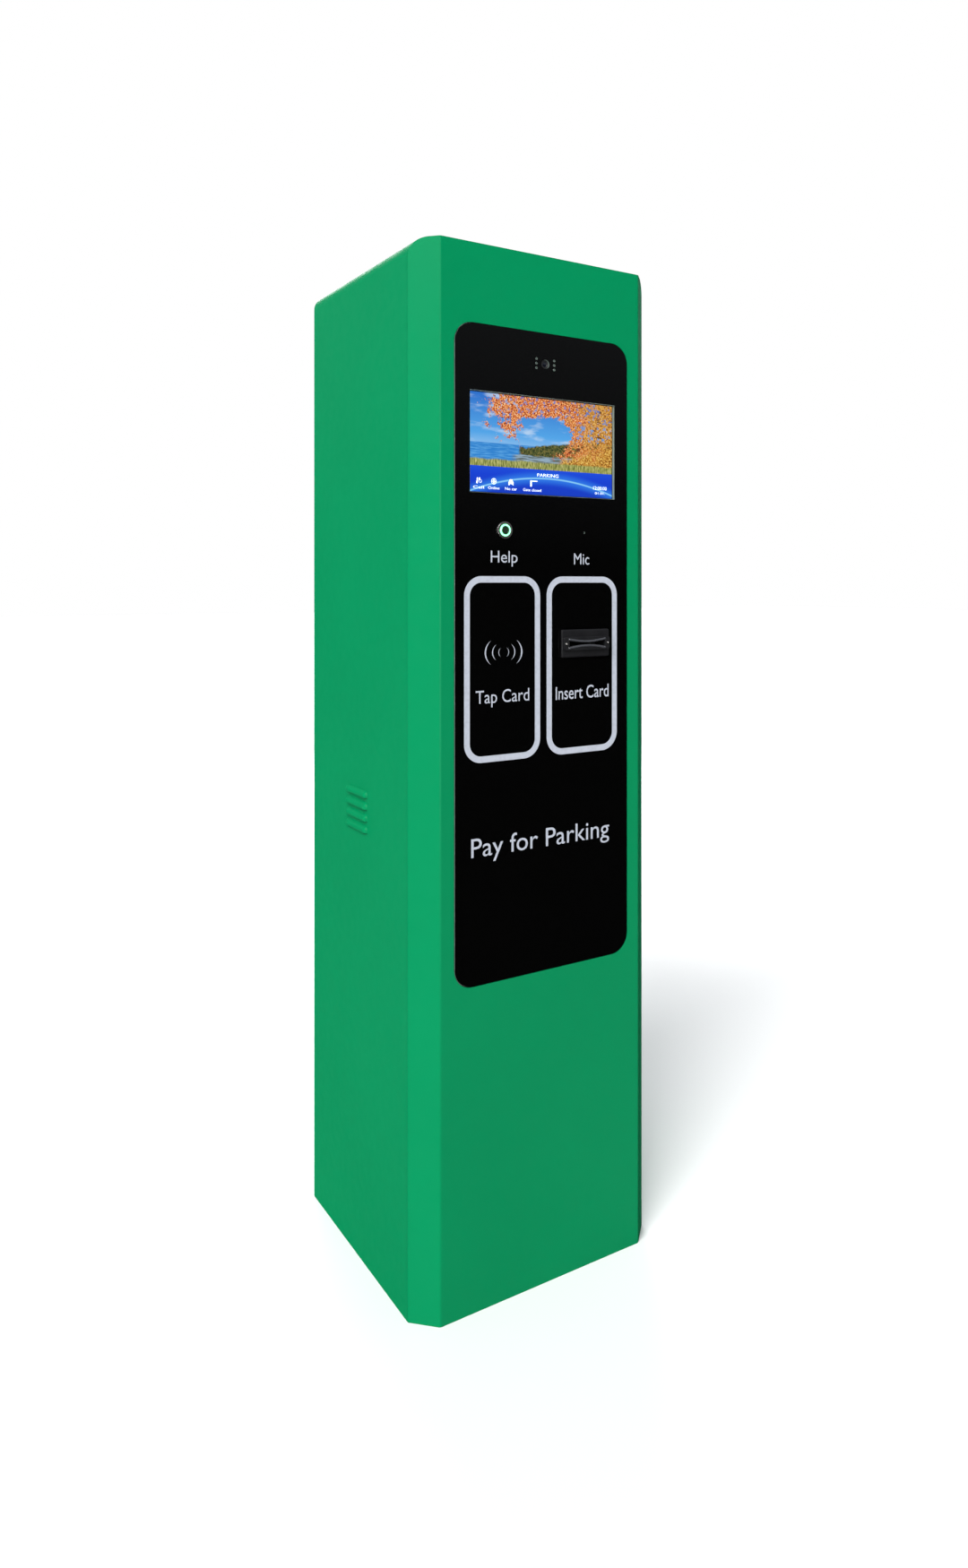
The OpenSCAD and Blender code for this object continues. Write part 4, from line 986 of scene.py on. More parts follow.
@dataclass(frozen=True)
class LakePicture(Finish):
    """The picture on the screen: a lake in autumn over a plain blue bar."""

    name: str
    left: float
    bottom: float
    width: float
    height: float

    def mixed(self) -> Material:
        """Mixes the picture from the sky down to the bar."""
        graph = Graph(self.name)
        times, plus, minus = graph.times, graph.plus, graph.minus
        mix, ramp, spread = graph.mix, graph.ramp, graph.spread
        spot = graph.place(
            (1 / self.width, 1.0, 1 / self.height),
            (-self.left / self.width, 0, -self.bottom / self.height),
        )
        parts = graph.node("SeparateXYZ", {"Vector": spot})
        across, up = parts.outputs["X"], parts.outputs["Z"]
        leaf = graph.noise(420, 3)
        sway = minus(graph.noise(75, 4), 0.5)

        def edge(way: object, level: object, soft: float, wobble: float) -> tuple:
            """The span of a soft and ragged edge across a way of the picture.

            Args:
                way: The way that it is crossed.
                level: Where it is.
                soft: Half its width.
                wobble: How ragged it is.

            Returns:
                The distance past the edge, and the limits of its softness.
            """
            place = minus(way, level)
            if wobble:
                place = plus(place, times(sway, wobble))
            return place, -soft, soft

        def below(level: object, soft: float, wobble: float = 0.0) -> Socket:
            """1 under a level of the picture, 0 over it."""
            return spread(*edge(up, level, soft, wobble), 1.0, 0.0)

        def beyond(level: float, soft: float, wobble: float = 0.0) -> Socket:
            """1 to the right of a place in the picture, 0 to its left."""
            return spread(*edge(across, level, soft, wobble), 0.0, 1.0)

        def round_spot(x: float, z: float, wide: float, tall: float) -> Socket:
            """Distance from a round spot's middle, 1 at its ragged rim.

            Args:
                x: Its middle across.
                z: Its middle up.
                wide: Half its width.
                tall: Half its height.

            Returns:
                The distance.
            """
            dx = graph.sum("DIVIDE", minus(across, x), wide)
            dz = graph.sum("DIVIDE", minus(up, z), tall)
            far = graph.sum("SQRT", plus(times(dx, dx), times(dz, dz)))
            return plus(plus(times(sway, 1.1), far), times(minus(leaf, 0.5), 0.55))

        sky = ramp(up, stops((0.35, 176, 214, 244), (0.6, 84, 168, 236), (1.0, 44, 112, 206)))
        wisps = graph.noise(1.0, 4, graph.place((26, 1, 90)))
        view = mix(spread(wisps, 0.5, 0.72, 0.0, 0.7), sky, shade(206, 228, 248))
        ripple = graph.noise(1.0, 3, graph.place((70, 1, 700)))
        lake = mix(spread(ripple, 0.4, 0.7, 0, 1), shade(48, 132, 210), shade(92, 168, 230))
        view = mix(below(0.5, 0.006), view, lake)
        rise = plus(times(across, 0.22), 0.4)
        wood = ramp(leaf, stops((0.35, 30, 44, 24), (0.52, 84, 92, 46), (0.68, 140, 124, 66)))
        woods = times(below(rise, 0.012, 0.12), beyond(0.33, 0.01, 0.05))
        view = mix(woods, view, wood)
        shore = times(below(0.4, 0.008, 0.04), beyond(0.3, 0.02, 0.1))
        gleam = mix(spread(ripple, 0.4, 0.6, 0, 1), shade(96, 108, 104), shade(150, 176, 196))
        view = mix(shore, view, gleam)
        bush = ramp(leaf, stops((0.36, 112, 66, 24), (0.5, 206, 144, 52), (0.66, 240, 206, 112)))
        bushes = times(below(times(across, 0.58), 0.03, 0.2), beyond(0.6, 0.03, 0.2))
        view = mix(bushes, view, bush)
        blades = graph.noise(1.0, 3, graph.place((900, 1, 140)))
        grass = ramp(
            blades, stops((0.34, 74, 82, 40), (0.5, 150, 156, 78), (0.66, 206, 200, 132))
        )
        view = mix(below(0.335, 0.012, 0.04), view, grass)
        crown = ramp(
            graph.noise(560, 4),
            stops(
                (0.34, 74, 34, 20),
                (0.43, 176, 74, 40),
                (0.5, 232, 122, 62),
                (0.57, 246, 168, 92),
                (0.66, 255, 228, 178),
            ),
        )
        gold = mix(times(beyond(0.78, 0.14, 0.5), 0.85), crown, bush)
        holes = graph.cloud(260, 3, 0.56, 0.62, 0.0, 0.75)
        canopy = spread(round_spot(0.66, 0.84, 0.5, 0.42), 0.97, 1.03, 1.0, 0.0)
        gap = spread(round_spot(0.5, 0.62, 0.19, 0.2), 0.97, 1.05, 1.0, 0.0)
        leaves = times(times(canopy, minus(1.0, gap)), minus(1.0, holes))
        view = mix(leaves, view, gold)
        boughs = spread(graph.noise(1.0, 2, graph.place((60, 1, 150))), 0.64, 0.67, 0.0, 0.8)
        boughs = times(times(boughs, leaves), beyond(0.66, 0.05))
        view = mix(boughs, view, shade(62, 40, 28))
        bar = ramp(up, stops((0.0, 22, 62, 196), (0.18, 20, 66, 216), (0.3, 30, 82, 226)))
        off = minus(across, 0.52)
        bow = minus(0.172, times(times(off, off), 0.62))
        near = graph.sum("ABSOLUTE", minus(up, bow))
        bar = mix(spread(near, 0.0, 0.09, 0.55, 0.0), bar, shade(60, 150, 250))
        bar = mix(spread(near, 0.0, 0.014, 0.9, 0.0), bar, shade(150, 222, 255))
        view = mix(below(0.262, 0.003), view, bar)
        graph.set(
            Base_Color=shade(8, 8, 10),
            Roughness=graph.cloud(60, 3, 0.3, 0.7, 0.12, 0.2),
            Specular_IOR_Level=0.2,
            Emission_Color=view,
            Emission_Strength=0.95,
        )
        return graph.material


@dataclass(frozen=True)
class StudioFloor(Finish):
    """A pale floor with a faint unevenness."""

    name: str
    colour: Colour

    def mixed(self) -> Material:
        """Mixes the floor, with painted light that fades it into the backdrop far away."""
        graph = Graph(self.name)
        away = graph.node("VectorMath", {0: graph.place()}, operation="LENGTH").outputs["Value"]
        graph.set(
            Base_Color=graph.mix(
                graph.cloud(2, 3, 0.3, 0.7, 0.0, 0.3),
                self.colour,
                tuple(0.97 * part for part in self.colour),
            ),
            Roughness=0.85,
            Specular_IOR_Level=0.1,
            # Painted light: the floor glows more the further it is from the middle, up to a pale
            # grey, so that it fades into the white backdrop.
            Emission_Color=graph.ramp(
                graph.spread(away, 1.0, 6.0, 0.0, 1.0), ((0.0, (0.0,) * 3), (1.0, (0.3,) * 3))
            ),
            Emission_Strength=1.0,
        )
        return graph.material


GREEN = PowderCoat("green_powder_coat", shade(0, 130, 80), gloss=0.06)
FRAME_GREEN = PowderCoat("frame_powder_coat", shade(0, 118, 72), gloss=0.06)
ZINC = Metal("zinc_plate", shade(196, 200, 204), rough=0.5, spangle=130)
SUPPLY_CASE = Metal("supply_case", shade(222, 222, 218), Grain.ROLLED, 0.6)
TINPLATE = Metal("tinplate", shade(196, 198, 198), Grain.ROLLED, 0.3)
STAINLESS = Metal("brushed_stainless", shade(202, 200, 196), Grain.BRUSHED_ACROSS, 0.24)
WIRE_STEEL = Metal("bright_wire", shade(190, 192, 194), Grain.BRUSHED_UP, 0.22)
ALUMINIUM = Metal("extruded_aluminium", shade(176, 180, 184), Grain.BRUSHED_ACROSS, 0.34)
DARK_METAL = PowderCoat("dark_sheet_metal", shade(46, 49, 53))
BUTTON_STEEL = Metal("button_steel", shade(96, 128, 104), Grain.BRUSHED_ACROSS, 0.3)
BRONZE = Metal("sintered_bronze", shade(176, 134, 82), Grain.ROLLED, 0.42)
BRASS = Metal("brass", shade(208, 172, 98), Grain.BRUSHED_IN, 0.28)
BLACK_ACRYLIC = GlossSheet("black_acrylic", shade(3, 3, 3), 0.22)
WINDOW_TINT = GlossSheet("camera_window_tint", shade(3, 3, 4), 0.2)
ACRYLIC_EDGE = SheetEdge("acrylic_edge", shade(132, 146, 138))
WHITE_INK = Ink("white_ink", shade(180, 185, 196))
BLACK_PLASTIC = Moulded("black_plastic", shade(28, 29, 31), 0.5)
READER_PLASTIC = Moulded("reader_plastic", shade(14, 14, 17), 0.48, 0.05 * MM, 1500, 0.3)
# The reader's lips are the same dark plastic as its plate. Their lighter colour is painted
# highlight for the sheen along them; their gloss and low roughness are the plastic's own.
LIP_PLASTIC_PAINTED_SHEEN = Moulded("reader_lips_painted_sheen", shade(58, 59, 63), 0.2, 0.015 * MM, 2600, 0.8)
GREY_PLASTIC = Moulded("grey_plastic", shade(150, 154, 156), 0.5)
LIGHT_PLASTIC = Moulded("light_grey_plastic", shade(206, 208, 206), 0.42)
BLUE_PLASTIC = Moulded("blue_plastic", shade(34, 84, 168), 0.4)
# Black rubber for the real rubber parts. The same finish also gives the thin dark strips for the
# supply's vents and the lock's keyway, which are painted shade.
RUBBER_AND_PAINTED_SHADE = Moulded("black_rubber_and_painted_shade", shade(24, 24, 25), 0.72, 0.06 * MM, 1300, 0.25)
FOAM = Moulded("sealing_foam", shade(38, 39, 41), 0.9, 0.2 * MM, 800, 0.1)
BELT = Moulded("belt_rubber", shade(20, 21, 22), 0.6, 0.08 * MM, 900)
LABEL = Ink("plain_label", shade(214, 214, 208))
JACKETS = tuple(
    Moulded(f"jacket_{name}", colour, 0.42, 0.012 * MM, 1800, 0.35)
    for name, colour in (
        ("brown", shade(98, 56, 32)),
        ("blue", shade(28, 74, 160)),
        ("black", shade(26, 27, 29)),
        ("red", shade(172, 28, 30)),
        ("grey", shade(122, 126, 130)),
        ("green", shade(34, 118, 60)),
        ("white", shade(206, 206, 202)),
    )
)
BOARD = Laminate("circuit_board", shade(20, 92, 56), shade(58, 138, 84))
LENS = Clear("lens_glass", shade(24, 30, 44))
LAMP_DOME = Clear("lamp_dome", shade(196, 214, 206), 0.08)
GREEN_LAMP = Lit("green_lamp", shade(150, 255, 190), shade(70, 220, 130), 2.1)
SCREEN_WHITE = Lit("screen_white", shade(240, 246, 255), shade(205, 222, 255), 0.78)


# ---- sub-assemblies ----


@dataclass
class Cabinet:
    """The bent sheet-metal shells, the base and the frame of the rear opening."""

    bend: float = 2.1 * MM
    cut_edge: float = 0.35 * MM
    long_edge: float = 12 * MM

    def long(self, a: Vector, b: Vector) -> bool:
        """Whether an edge is long enough to be a fold or a straight cut."""
        return (a - b).length > self.long_edge

    def eased(self, node: str, name: str, finish: Finish, body: Body = Body.CABINET) -> None:
        """Makes a sheet part whose folds and cuts catch the light.

        Args:
            node: The CAD node that it stands for.
            name: The piece's name.
            finish: Its finish.
            body: The body that it rides on.
        """
        piece = Bench.from_node(node, name)
        Bench.round_edges(piece, self.cut_edge, 2, self.long, sharpness=40)
        Bench.smooth_flats(piece)
        on_body(piece, body, finish, "powder_coat", (node,))

    def front(self) -> None:
        """Makes the front cover, with its outer folds rounded like bent sheet."""
        low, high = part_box("front_shell")
        piece = Bench.from_node("front_shell", "front_cover")
        tall = (high.z - low.z) * 0.5
        face = low.y + MERGE * 10

        def fold(a: Vector, b: Vector) -> bool:
            """The upright folds between the front and its two chamfers."""
            upright = abs(a.z - b.z) > tall and a.y < face and b.y < face
            return upright and min(abs(a.x), abs(b.x)) > high.x * 0.7

        Bench.round_edges(piece, self.bend, 5, fold)
        Bench.round_edges(piece, self.cut_edge, 2, self.long, sharpness=40)
        Bench.smooth_flats(piece)
        on_body(piece, Body.CABINET, GREEN, "powder_coat", ("front_shell",))

    def build(self) -> None:
        """Builds the cabinet."""
        self.eased("body_shell", "side_and_roof_sheet", GREEN)
        self.front()
        self.eased("rear_frame", "rear_frame_sheet", FRAME_GREEN)
        dress(ZINC, "base_tray", "equipment_rails", "side_fixings")


@dataclass
class RearDoor:
    """The rear door with its seal, hinges and cam lock."""

    edge: float = 1.1 * MM
    head_edge: float = 0.5 * MM
    plug: float = 5.6 * MM
    key_depth: tuple[float, float] = (0.4 * MM, 0.58 * MM)
    key_width: float = 1.1 * MM
    key_height: float = 7.5 * MM

    def build(self) -> None:
        """Builds the door's leaf and dresses its hinges and lock."""
        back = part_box("door_panel")[1].y
        leaf = Bench.faced("door_panel", "door_leaf", back, 1, self.edge, 4)
        on_body(leaf, Body.DOOR, GREEN, "powder_coat", ("door_panel",))
        dress(RUBBER_AND_PAINTED_SHADE, "door_seal")
        dress(STAINLESS, "hinge_pins")
        dress(BRONZE, "hinge_bushes")
        dress(ZINC, "lock_nut", "lock_cam")
        self.lock()

    def lock(self) -> None:
        """Eases the lock's head and gives its core a keyway, a thin dark slab of painted shade."""
        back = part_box("lock_housing")[1].y
        housing = Bench.faced("lock_housing", "lock_head", back, 1, self.head_edge, 3)
        on_body(housing, Body.DOOR, STAINLESS, "stainless", ("lock_housing",))
        dress(STAINLESS, "lock_core")
        low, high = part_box("lock_core")
        middle = (low + high) / 2
        face = Bench.turned(
            "lock_plug_face",
            (middle.x, high.y - 0.35 * MM, middle.z),
            Axis.BACK,
            (
                (self.plug, 0.0),
                (self.plug, 0.65 * MM),
                (5.1 * MM, 0.85 * MM),
                (3.9 * MM, 0.85 * MM),
            ),
        )
        on_body(face, Body.LOCK, BRASS, "stainless")
        wide, tall = self.key_width / 2, self.key_height / 2
        inner, outer = (high.y + depth for depth in self.key_depth)
        # The keyway is a thin dark slab on the plug's face: painted shade of the key slot.
        key = Bench.slab(
            "lock_keyway_shade",
            (middle.x - wide, inner, middle.z - tall),
            (middle.x + wide, outer, middle.z + tall),
            0.4 * MM,
        )
        on_body(key, Body.LOCK, RUBBER_AND_PAINTED_SHADE, "rubber")


@dataclass
class Fascia:
    """The glossy front panel, its gasket, carrier and fixings."""

    rim: float = 0.3 * MM

    def build(self) -> None:
        """Builds the panel and dresses what holds it."""
        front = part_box("fascia_panel")[0].y
        piece = Bench.faced("fascia_panel", "fascia_sheet", front, -1, self.rim, 2)
        piece.data.materials.clear()
        piece.data.materials.append(BLACK_ACRYLIC.material())
        piece.data.materials.append(ACRYLIC_EDGE.material())
        for face in piece.data.polygons:
            face.material_index = int(abs(face.normal.y) < 0.9)
        on_body(piece, Body.CABINET, BLACK_ACRYLIC, "black_panel", ("fascia_panel",))
        dress(FOAM, "fascia_gasket")
        dress(ZINC, "fascia_carrier", "fascia_fixings")
        dress(RUBBER_AND_PAINTED_SHADE, "microphone")


@dataclass
class PrintedGraphics:
    """Everything that is printed on the fascia in white."""

    line: float = 8.2 * MM
    corner: float = 25 * MM
    low: float = 692.5 * MM
    high: float = 929 * MM
    tap: tuple[float, float] = (-121.7 * MM, -8.1 * MM)
    insert: tuple[float, float] = (2.1 * MM, 117.6 * MM)

    def outline(self, name: str, span: tuple[float, float], face: float) -> None:
        """Prints a frame with round corners.

        Args:
            name: The piece's name.
            span: Its left and right limits.
            face: Where the panel's front is.
        """
        piece = Bench.block(
            name, (span[0], face - PRINT_DEPTH, self.low), (span[1], face, self.high)
        )
        Bench.round_edges(piece, self.corner, 14, lambda a, b: abs(a.y - b.y) > MM / 100)
        Bench.mark_faces(piece, lambda middle, normal: abs(normal.y) > 0.9)
        bpy.ops.mesh.inset(thickness=self.line, use_even_offset=True)
        bpy.ops.mesh.bridge_edge_loops()
        Bench.done()
        Bench.finish_shape(piece)
        on_body(piece, Body.CABINET, WHITE_INK)

    def waves(self, face: float) -> None:
        """Prints the contactless sign: three crescents on each side.

        Args:
            face: Where the panel's front is.
        """
        low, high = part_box("nfc_housing")
        centre = Vector(((low.x + high.x) / 2 - 1.2 * MM, face, (low.z + high.z) / 2))
        arcs: list[Piece] = []
        for step, (away, reach, thick) in enumerate(
            ((4.2, 6.0, 0.75), (11.0, 10.2, 1.35), (18.6, 15.6, 2.0))
        ):
            for side in (-1, 1):
                arcs.append(self.crescent(f"wave_{step}_{side}", centre, side, away, reach, thick))
        group("contactless_sign", arcs, WHITE_INK)

    @staticmethod
    def crescent(
        name: str, centre: Vector, side: int, away: float, reach: float, thick: float
    ) -> Piece:
        """Makes one crescent from a disc, hollowed by pushing its chord outwards.

        Args:
            name: The piece's name.
            centre: The middle of the sign, on the panel's front.
            side: -1 for left, 1 for right.
            away: How far its tips are from the middle, in millimetres.
            reach: Half its height, in millimetres.
            thick: Its thickness in its middle, in millimetres.

        Returns:
            The crescent.
        """
        angle = math.radians(52)
        radius = reach * MM / math.sin(angle)
        bpy.ops.object.select_all(action="DESELECT")
        bpy.ops.mesh.primitive_circle_add(vertices=4, radius=MM, fill_type="NGON")
        piece = Bench.named(name)
        start = piece.data.vertices
        Bench.mark(piece, 0, [i > 0 for i in range(len(start))])
        bpy.ops.mesh.delete(type="VERT")
        Bench.done()
        tip = (radius * math.cos(angle), 0.0, -radius * math.sin(angle))
        piece.data.vertices[0].co = tip
        Bench.mark(piece, 0, [True])
        bpy.ops.mesh.spin(steps=18, angle=2 * angle, center=(0, 0, 0), axis=(0, 1, 0))
        Bench.done()
        Bench.mark(piece, 1, [True] * len(piece.data.edges))
        bpy.ops.mesh.extrude_edges_move(TRANSFORM_OT_translate={"value": (0, 0, 0)})
        sagitta = radius - tip[0]
        share = (sagitta + thick * MM) / sagitta
        bpy.ops.transform.resize(value=(share, 1, 1), center_override=(tip[0], 0, 0))
        bpy.ops.mesh.select_all(action="SELECT")
        bpy.ops.mesh.extrude_region_move(TRANSFORM_OT_translate={"value": (0, -PRINT_DEPTH, 0)})
        Bench.done()
        piece.scale = (side, 1, 1)
        piece.location = centre + Vector((side * (away * MM - tip[0]), 0, 0))
        Bench.settle(piece)
        Bench.finish_shape(piece)
        return piece

    def words(self, face: float) -> None:
        """Prints the generic words beside the controls and at the panel's foot.

        Args:
            face: Where the panel's front is.
        """
        rows = (
            ("word_help", "Help", -63.0, 951.5, 40, 20, 0.0),
            ("word_mic", "Mic", 58.5, 952.5, 25, 15, 0.0),
            ("word_tap_card", "Tap Card", -65.0, 773, 80, 22, 0.0),
            ("word_insert_card", "Insert Card", 60.0, 774, 87, 17.5, 0.004),
            ("word_title", "Pay for Parking", -3.5, 582, 216, 32, 0.0),
        )
        for name, words, x, z, width, height, weight in rows:
            piece = Bench.lettering(
                name, words, (x * MM, face, z * MM), width * MM, height * MM, weight
            )
            on_body(piece, Body.CABINET, WHITE_INK)

    def build(self) -> None:
        """Prints all of it on the panel's front."""
        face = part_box("fascia_panel")[0].y
        self.outline("tap_frame", self.tap, face)
        self.outline("insert_frame", self.insert, face)
        self.waves(face)
        self.words(face)


@dataclass
class Screen:
    """The display behind the fascia's window, with its picture and its signs."""

    width: float = 224 * MM
    height: float = 126.5 * MM
    drop: float = 0.12 * MM

    def at(self, across: float, up: float) -> Point:
        """A point on the picture.

        Args:
            across: Its place across, as a share of the width.
            up: Its place up, as a share of the height.

        Returns:
            The point.
        """
        low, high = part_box("lcd_glass")
        middle = (low + high) / 2
        return (
            middle.x + (across - 0.5) * self.width,
            low.y - self.drop,
            middle.z + (up - 0.5) * self.height,
        )

    def build(self) -> None:
        """Builds the picture, its signs and the module behind it."""
        corner, opposite = self.at(0, 0), self.at(1, 1)
        far = (opposite[0], corner[1] + self.drop, opposite[2])
        picture = Bench.slab("screen_picture", corner, far, 0.4 * MM, 3)
        finish = LakePicture("lake_picture", corner[0], corner[2], self.width, self.height)
        on_body(picture, Body.CABINET, finish, "screen")
        glass = Bench.from_node("lcd_glass", "screen_glass")
        Bench.round_edges(glass, 0.3 * MM, 2)
        Bench.finish_shape(glass)
        on_body(glass, Body.CABINET, WINDOW_TINT, "screen", ("lcd_glass",))
        self.signs()
        dress(TINPLATE, "lcd_housing")
        dress(BOARD, "lcd_board")
        dress(ZINC, "lcd_clips")

    def signs(self) -> None:
        """Builds the bar's four signs, its words and its clock."""
        parts = [self.phone(), self.globe(), self.car(), self.gate()]
        group("screen_signs", parts, SCREEN_WHITE, "screen")
        rows = (
            ("screen_word_call", "Call", 0.06, 0.045, 0.07, 0.028),
            ("screen_word_online", "Online", 0.16, 0.045, 0.075, 0.028),
            ("screen_word_car", "No car", 0.275, 0.045, 0.08, 0.028),
            ("screen_word_gate", "Gate closed", 0.42, 0.045, 0.125, 0.028),
            ("screen_word_parking", "PARKING", 0.53, 0.205, 0.15, 0.034),
            ("screen_clock", "12:00:00", 0.91, 0.105, 0.1, 0.036),
            ("screen_date", "01.01.", 0.91, 0.05, 0.075, 0.024),
        )
        for name, words, across, up, wide, tall in rows:
            piece = Bench.lettering(
                name, words, self.at(across, up), wide * self.width, tall * self.height, 0.0
            )
            on_body(piece, Body.CABINET, SCREEN_WHITE, "screen")

    def flat(
        self, name: str, across: float, up: float, wide: float, tall: float, corner: float
    ) -> Piece:
        """A small printed plate with rounded corners at a place in the picture.

        Args:
            name: The part's name.
            across: Its middle across the picture, as a share.
            up: Its middle up the picture, as a share.
            wide: Its width in millimetres.
            tall: Its height in millimetres.
            corner: Radius of its corners in millimetres.

        Returns:
            The part.
        """
        x, y, z = self.at(across, up)
        half = Vector((wide / 2 * MM, 0, tall / 2 * MM))
        return Bench.slab(
            name,
            Vector((x, y - PRINT_DEPTH, z)) - half,
            Vector((x, y, z)) + half,
            corner * MM,
            4,
        )

    def ring(self, name: str, across: float, up: float, radius: float, line: float) -> Piece:
        """A small printed ring.

        Args:
            name: The part's name.
            across: Its middle across the picture, as a share.
            up: Its middle up the picture, as a share.
            radius: Its outer radius in millimetres.
            line: The width of its line in millimetres.

        Returns:
            The part.
        """
        outer, inner = radius * MM, (radius - line) * MM
        return Bench.turned(
            name,
            self.at(across, up),
            Axis.FRONT,
            ((inner, 0.0), (outer, 0.0), (outer, PRINT_DEPTH), (inner, PRINT_DEPTH)),
            24,
            hollow=True,
        )

    def phone(self) -> Piece:
        """A handset: a bow with two cups."""
        cup = self.flat("phone_cup", 0.05, 0.095, 2.4, 3.4, 1.0)
        other = self.flat("phone_cup_2", 0.066, 0.128, 2.4, 3.4, 1.0)
        bow = self.flat("phone_bow", 0.052, 0.12, 1.6, 5.4, 0.7)
        wave = self.ring("phone_wave", 0.072, 0.105, 2.0, 0.5)
        return Bench.joined("phone", [cup, other, bow, wave])

    def globe(self) -> Piece:
        """A globe: a ring with its equator and its meridian."""
        rim = self.ring("globe_rim", 0.16, 0.112, 3.9, 0.7)
        inner = self.ring("globe_inner", 0.16, 0.112, 1.9, 0.5)
        equator = self.flat("globe_equator", 0.16, 0.112, 7.0, 0.5, 0.1)
        meridian = self.flat("globe_meridian", 0.16, 0.112, 0.5, 7.0, 0.1)
        return Bench.joined("globe", [rim, inner, equator, meridian])

    def car(self) -> Piece:
        """A car seen from the front: a roof, a body and two wheels."""
        roof = self.flat("car_roof", 0.275, 0.13, 4.6, 3.0, 1.2)
        body = self.flat("car_body", 0.275, 0.107, 7.6, 3.2, 0.9)
        wheels = [
            self.flat(f"car_wheel_{i}", 0.262 + 0.026 * i, 0.088, 1.5, 1.6, 0.3) for i in (0, 1)
        ]
        return Bench.joined("car", [roof, body, *wheels])

    def gate(self) -> Piece:
        """A barrier: a post with a boom."""
        post = self.flat("gate_post", 0.412, 0.112, 2.4, 8.0, 0.5)
        boom = self.flat("gate_boom", 0.438, 0.138, 8.4, 1.2, 0.4)
        return Bench.joined("gate", [post, boom])


@dataclass
class CameraUnit:
    """The camera over the screen, with its lamps behind a dark window."""

    rim: float = 0.25 * MM

    def build(self) -> None:
        """Builds the barrel's rings and dresses the rest."""
        low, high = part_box("camera_barrel")
        middle = (low + high) / 2
        barrel = Bench.faced("camera_barrel", "camera_barrel_turned", low.y, -1, self.rim, 2)
        on_body(barrel, Body.CABINET, BLACK_PLASTIC, "black_plastic", ("camera_barrel",))
        baffle = Bench.turned(
            "camera_baffle",
            (middle.x, low.y + 1.9 * MM, middle.z),
            Axis.FRONT,
            (
                (1.5 * MM, -0.5 * MM),
                (2.6 * MM, 0.15 * MM),
                (4.1 * MM, 1.5 * MM),
                (4.6 * MM, 1.5 * MM),
                (4.6 * MM, -0.5 * MM),
            ),
            40,
            hollow=True,
        )
        on_body(baffle, Body.CABINET, BLACK_PLASTIC, "black_plastic")
        dress(LENS, "camera_glass")
        dress(LAMP_DOME, "ir_lamps")
        dress(BOARD, "camera_board")


@dataclass
class HelpButton:
    """The help button: its steel body, lit ring and travelling cap."""

    edge: float = 0.35 * MM

    def build(self) -> None:
        """Eases the head and the cap and lights the ring."""
        for node, name, finish, body in (
            ("button_body", "button_head", STAINLESS, Body.CABINET),
            ("button_cap", "button_press_cap", BUTTON_STEEL, Body.HELP_CAP),
        ):
            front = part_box(node)[0].y
            piece = Bench.faced(node, name, front, -1, self.edge, 3)
            on_body(piece, body, finish, "stainless", (node,))
        dress(GREEN_LAMP, "button_ring")
        dress(STAINLESS, "button_nut")
        dress(WIRE_STEEL, "button_spring")


@dataclass
class CardReader:
    """The card reader's mouth on the fascia and its mechanism behind."""

    plate_ease: float = 0.45 * MM
    plate_corner: float = 2.2 * MM
    lip: float = 1.55 * MM
    lip_out: float = 1.3 * MM
    lip_sag: float = 3.3 * MM
    slot_waist: float = 1.3 * MM
    slot: float = 30.4 * MM
    slot_rise: float = 5.5 * MM
    screw_x: float = 34 * MM
    screw: float = 1.7 * MM

    def build(self) -> None:
        """Builds the mouth and dresses the mechanism."""
        self.mouth()
        dress(TINPLATE, "card_chassis", "feed_motor")
        dress(BLACK_PLASTIC, "card_guides", "nfc_housing")
        dress(BOARD, "reader_board", "nfc_board")
        dress(ALUMINIUM, "motor_pulley")
        dress(BELT, "drive_belt")
        dress(RUBBER_AND_PAINTED_SHADE, "feed_roller_front", "feed_roller_rear")

    def mouth(self) -> None:
        """Rounds the plate, and sets two bowed lips and two screws round its slot."""
        low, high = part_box("card_bezel")
        middle = (low + high) / 2
        bezel = Bench.from_node("card_bezel", "reader_bezel")
        wide, tall = high.x - middle.x - MM, high.z - middle.z - MM
        Bench.mark(bezel, 0, [v.co.y < low.y + MM / 10 for v in bezel.data.vertices])
        bpy.ops.transform.translate(value=(0, self.lip_out, 0))
        Bench.done()

        def corner(a: Vector, b: Vector) -> bool:
            """The plate's four corners."""
            return min(abs(a.x - middle.x), abs(b.x - middle.x)) > wide and (
                min(abs(a.z - middle.z), abs(b.z - middle.z)) > tall
            )

        def outline(a: Vector, b: Vector) -> bool:
            """The outlines of the plate and the mouth, away from the slot."""
            return max(a.y, b.y) < high.y - MM and all(
                abs(p.x - middle.x) > self.slot or abs(p.z - middle.z) > self.slot_rise
                for p in (a, b)
            )

        Bench.round_edges(bezel, self.plate_corner, 4, corner, sharpness=60)
        Bench.round_edges(bezel, self.plate_ease, 2, outline, sharpness=40)
        Bench.smooth_flats(bezel)
        on_body(bezel, Body.CABINET, READER_PLASTIC, "black_plastic", ("card_bezel",))
        for side, place in ((1, "upper"), (-1, "lower")):
            lip = Bench.bow(
                f"reader_lip_{place}",
                (
                    middle.x,
                    low.y + self.lip + MM / 20,
                    middle.z + side * (self.slot_waist + self.lip),
                ),
                self.slot,
                self.lip_sag,
                self.lip,
                side,
            )
            # Lighter than the plate: painted highlight for the lips' sheen.
            on_body(lip, Body.CABINET, LIP_PLASTIC_PAINTED_SHEEN, "black_plastic")
        screws = [
            Bench.screw(
                f"reader_screw_{side}",
                (middle.x + side * self.screw_x, low.y + self.lip_out, middle.z),
                Axis.FRONT,
                self.screw,
            )
            for side in (-1, 1)
        ]
        group("reader_screws", screws, STAINLESS, "stainless")


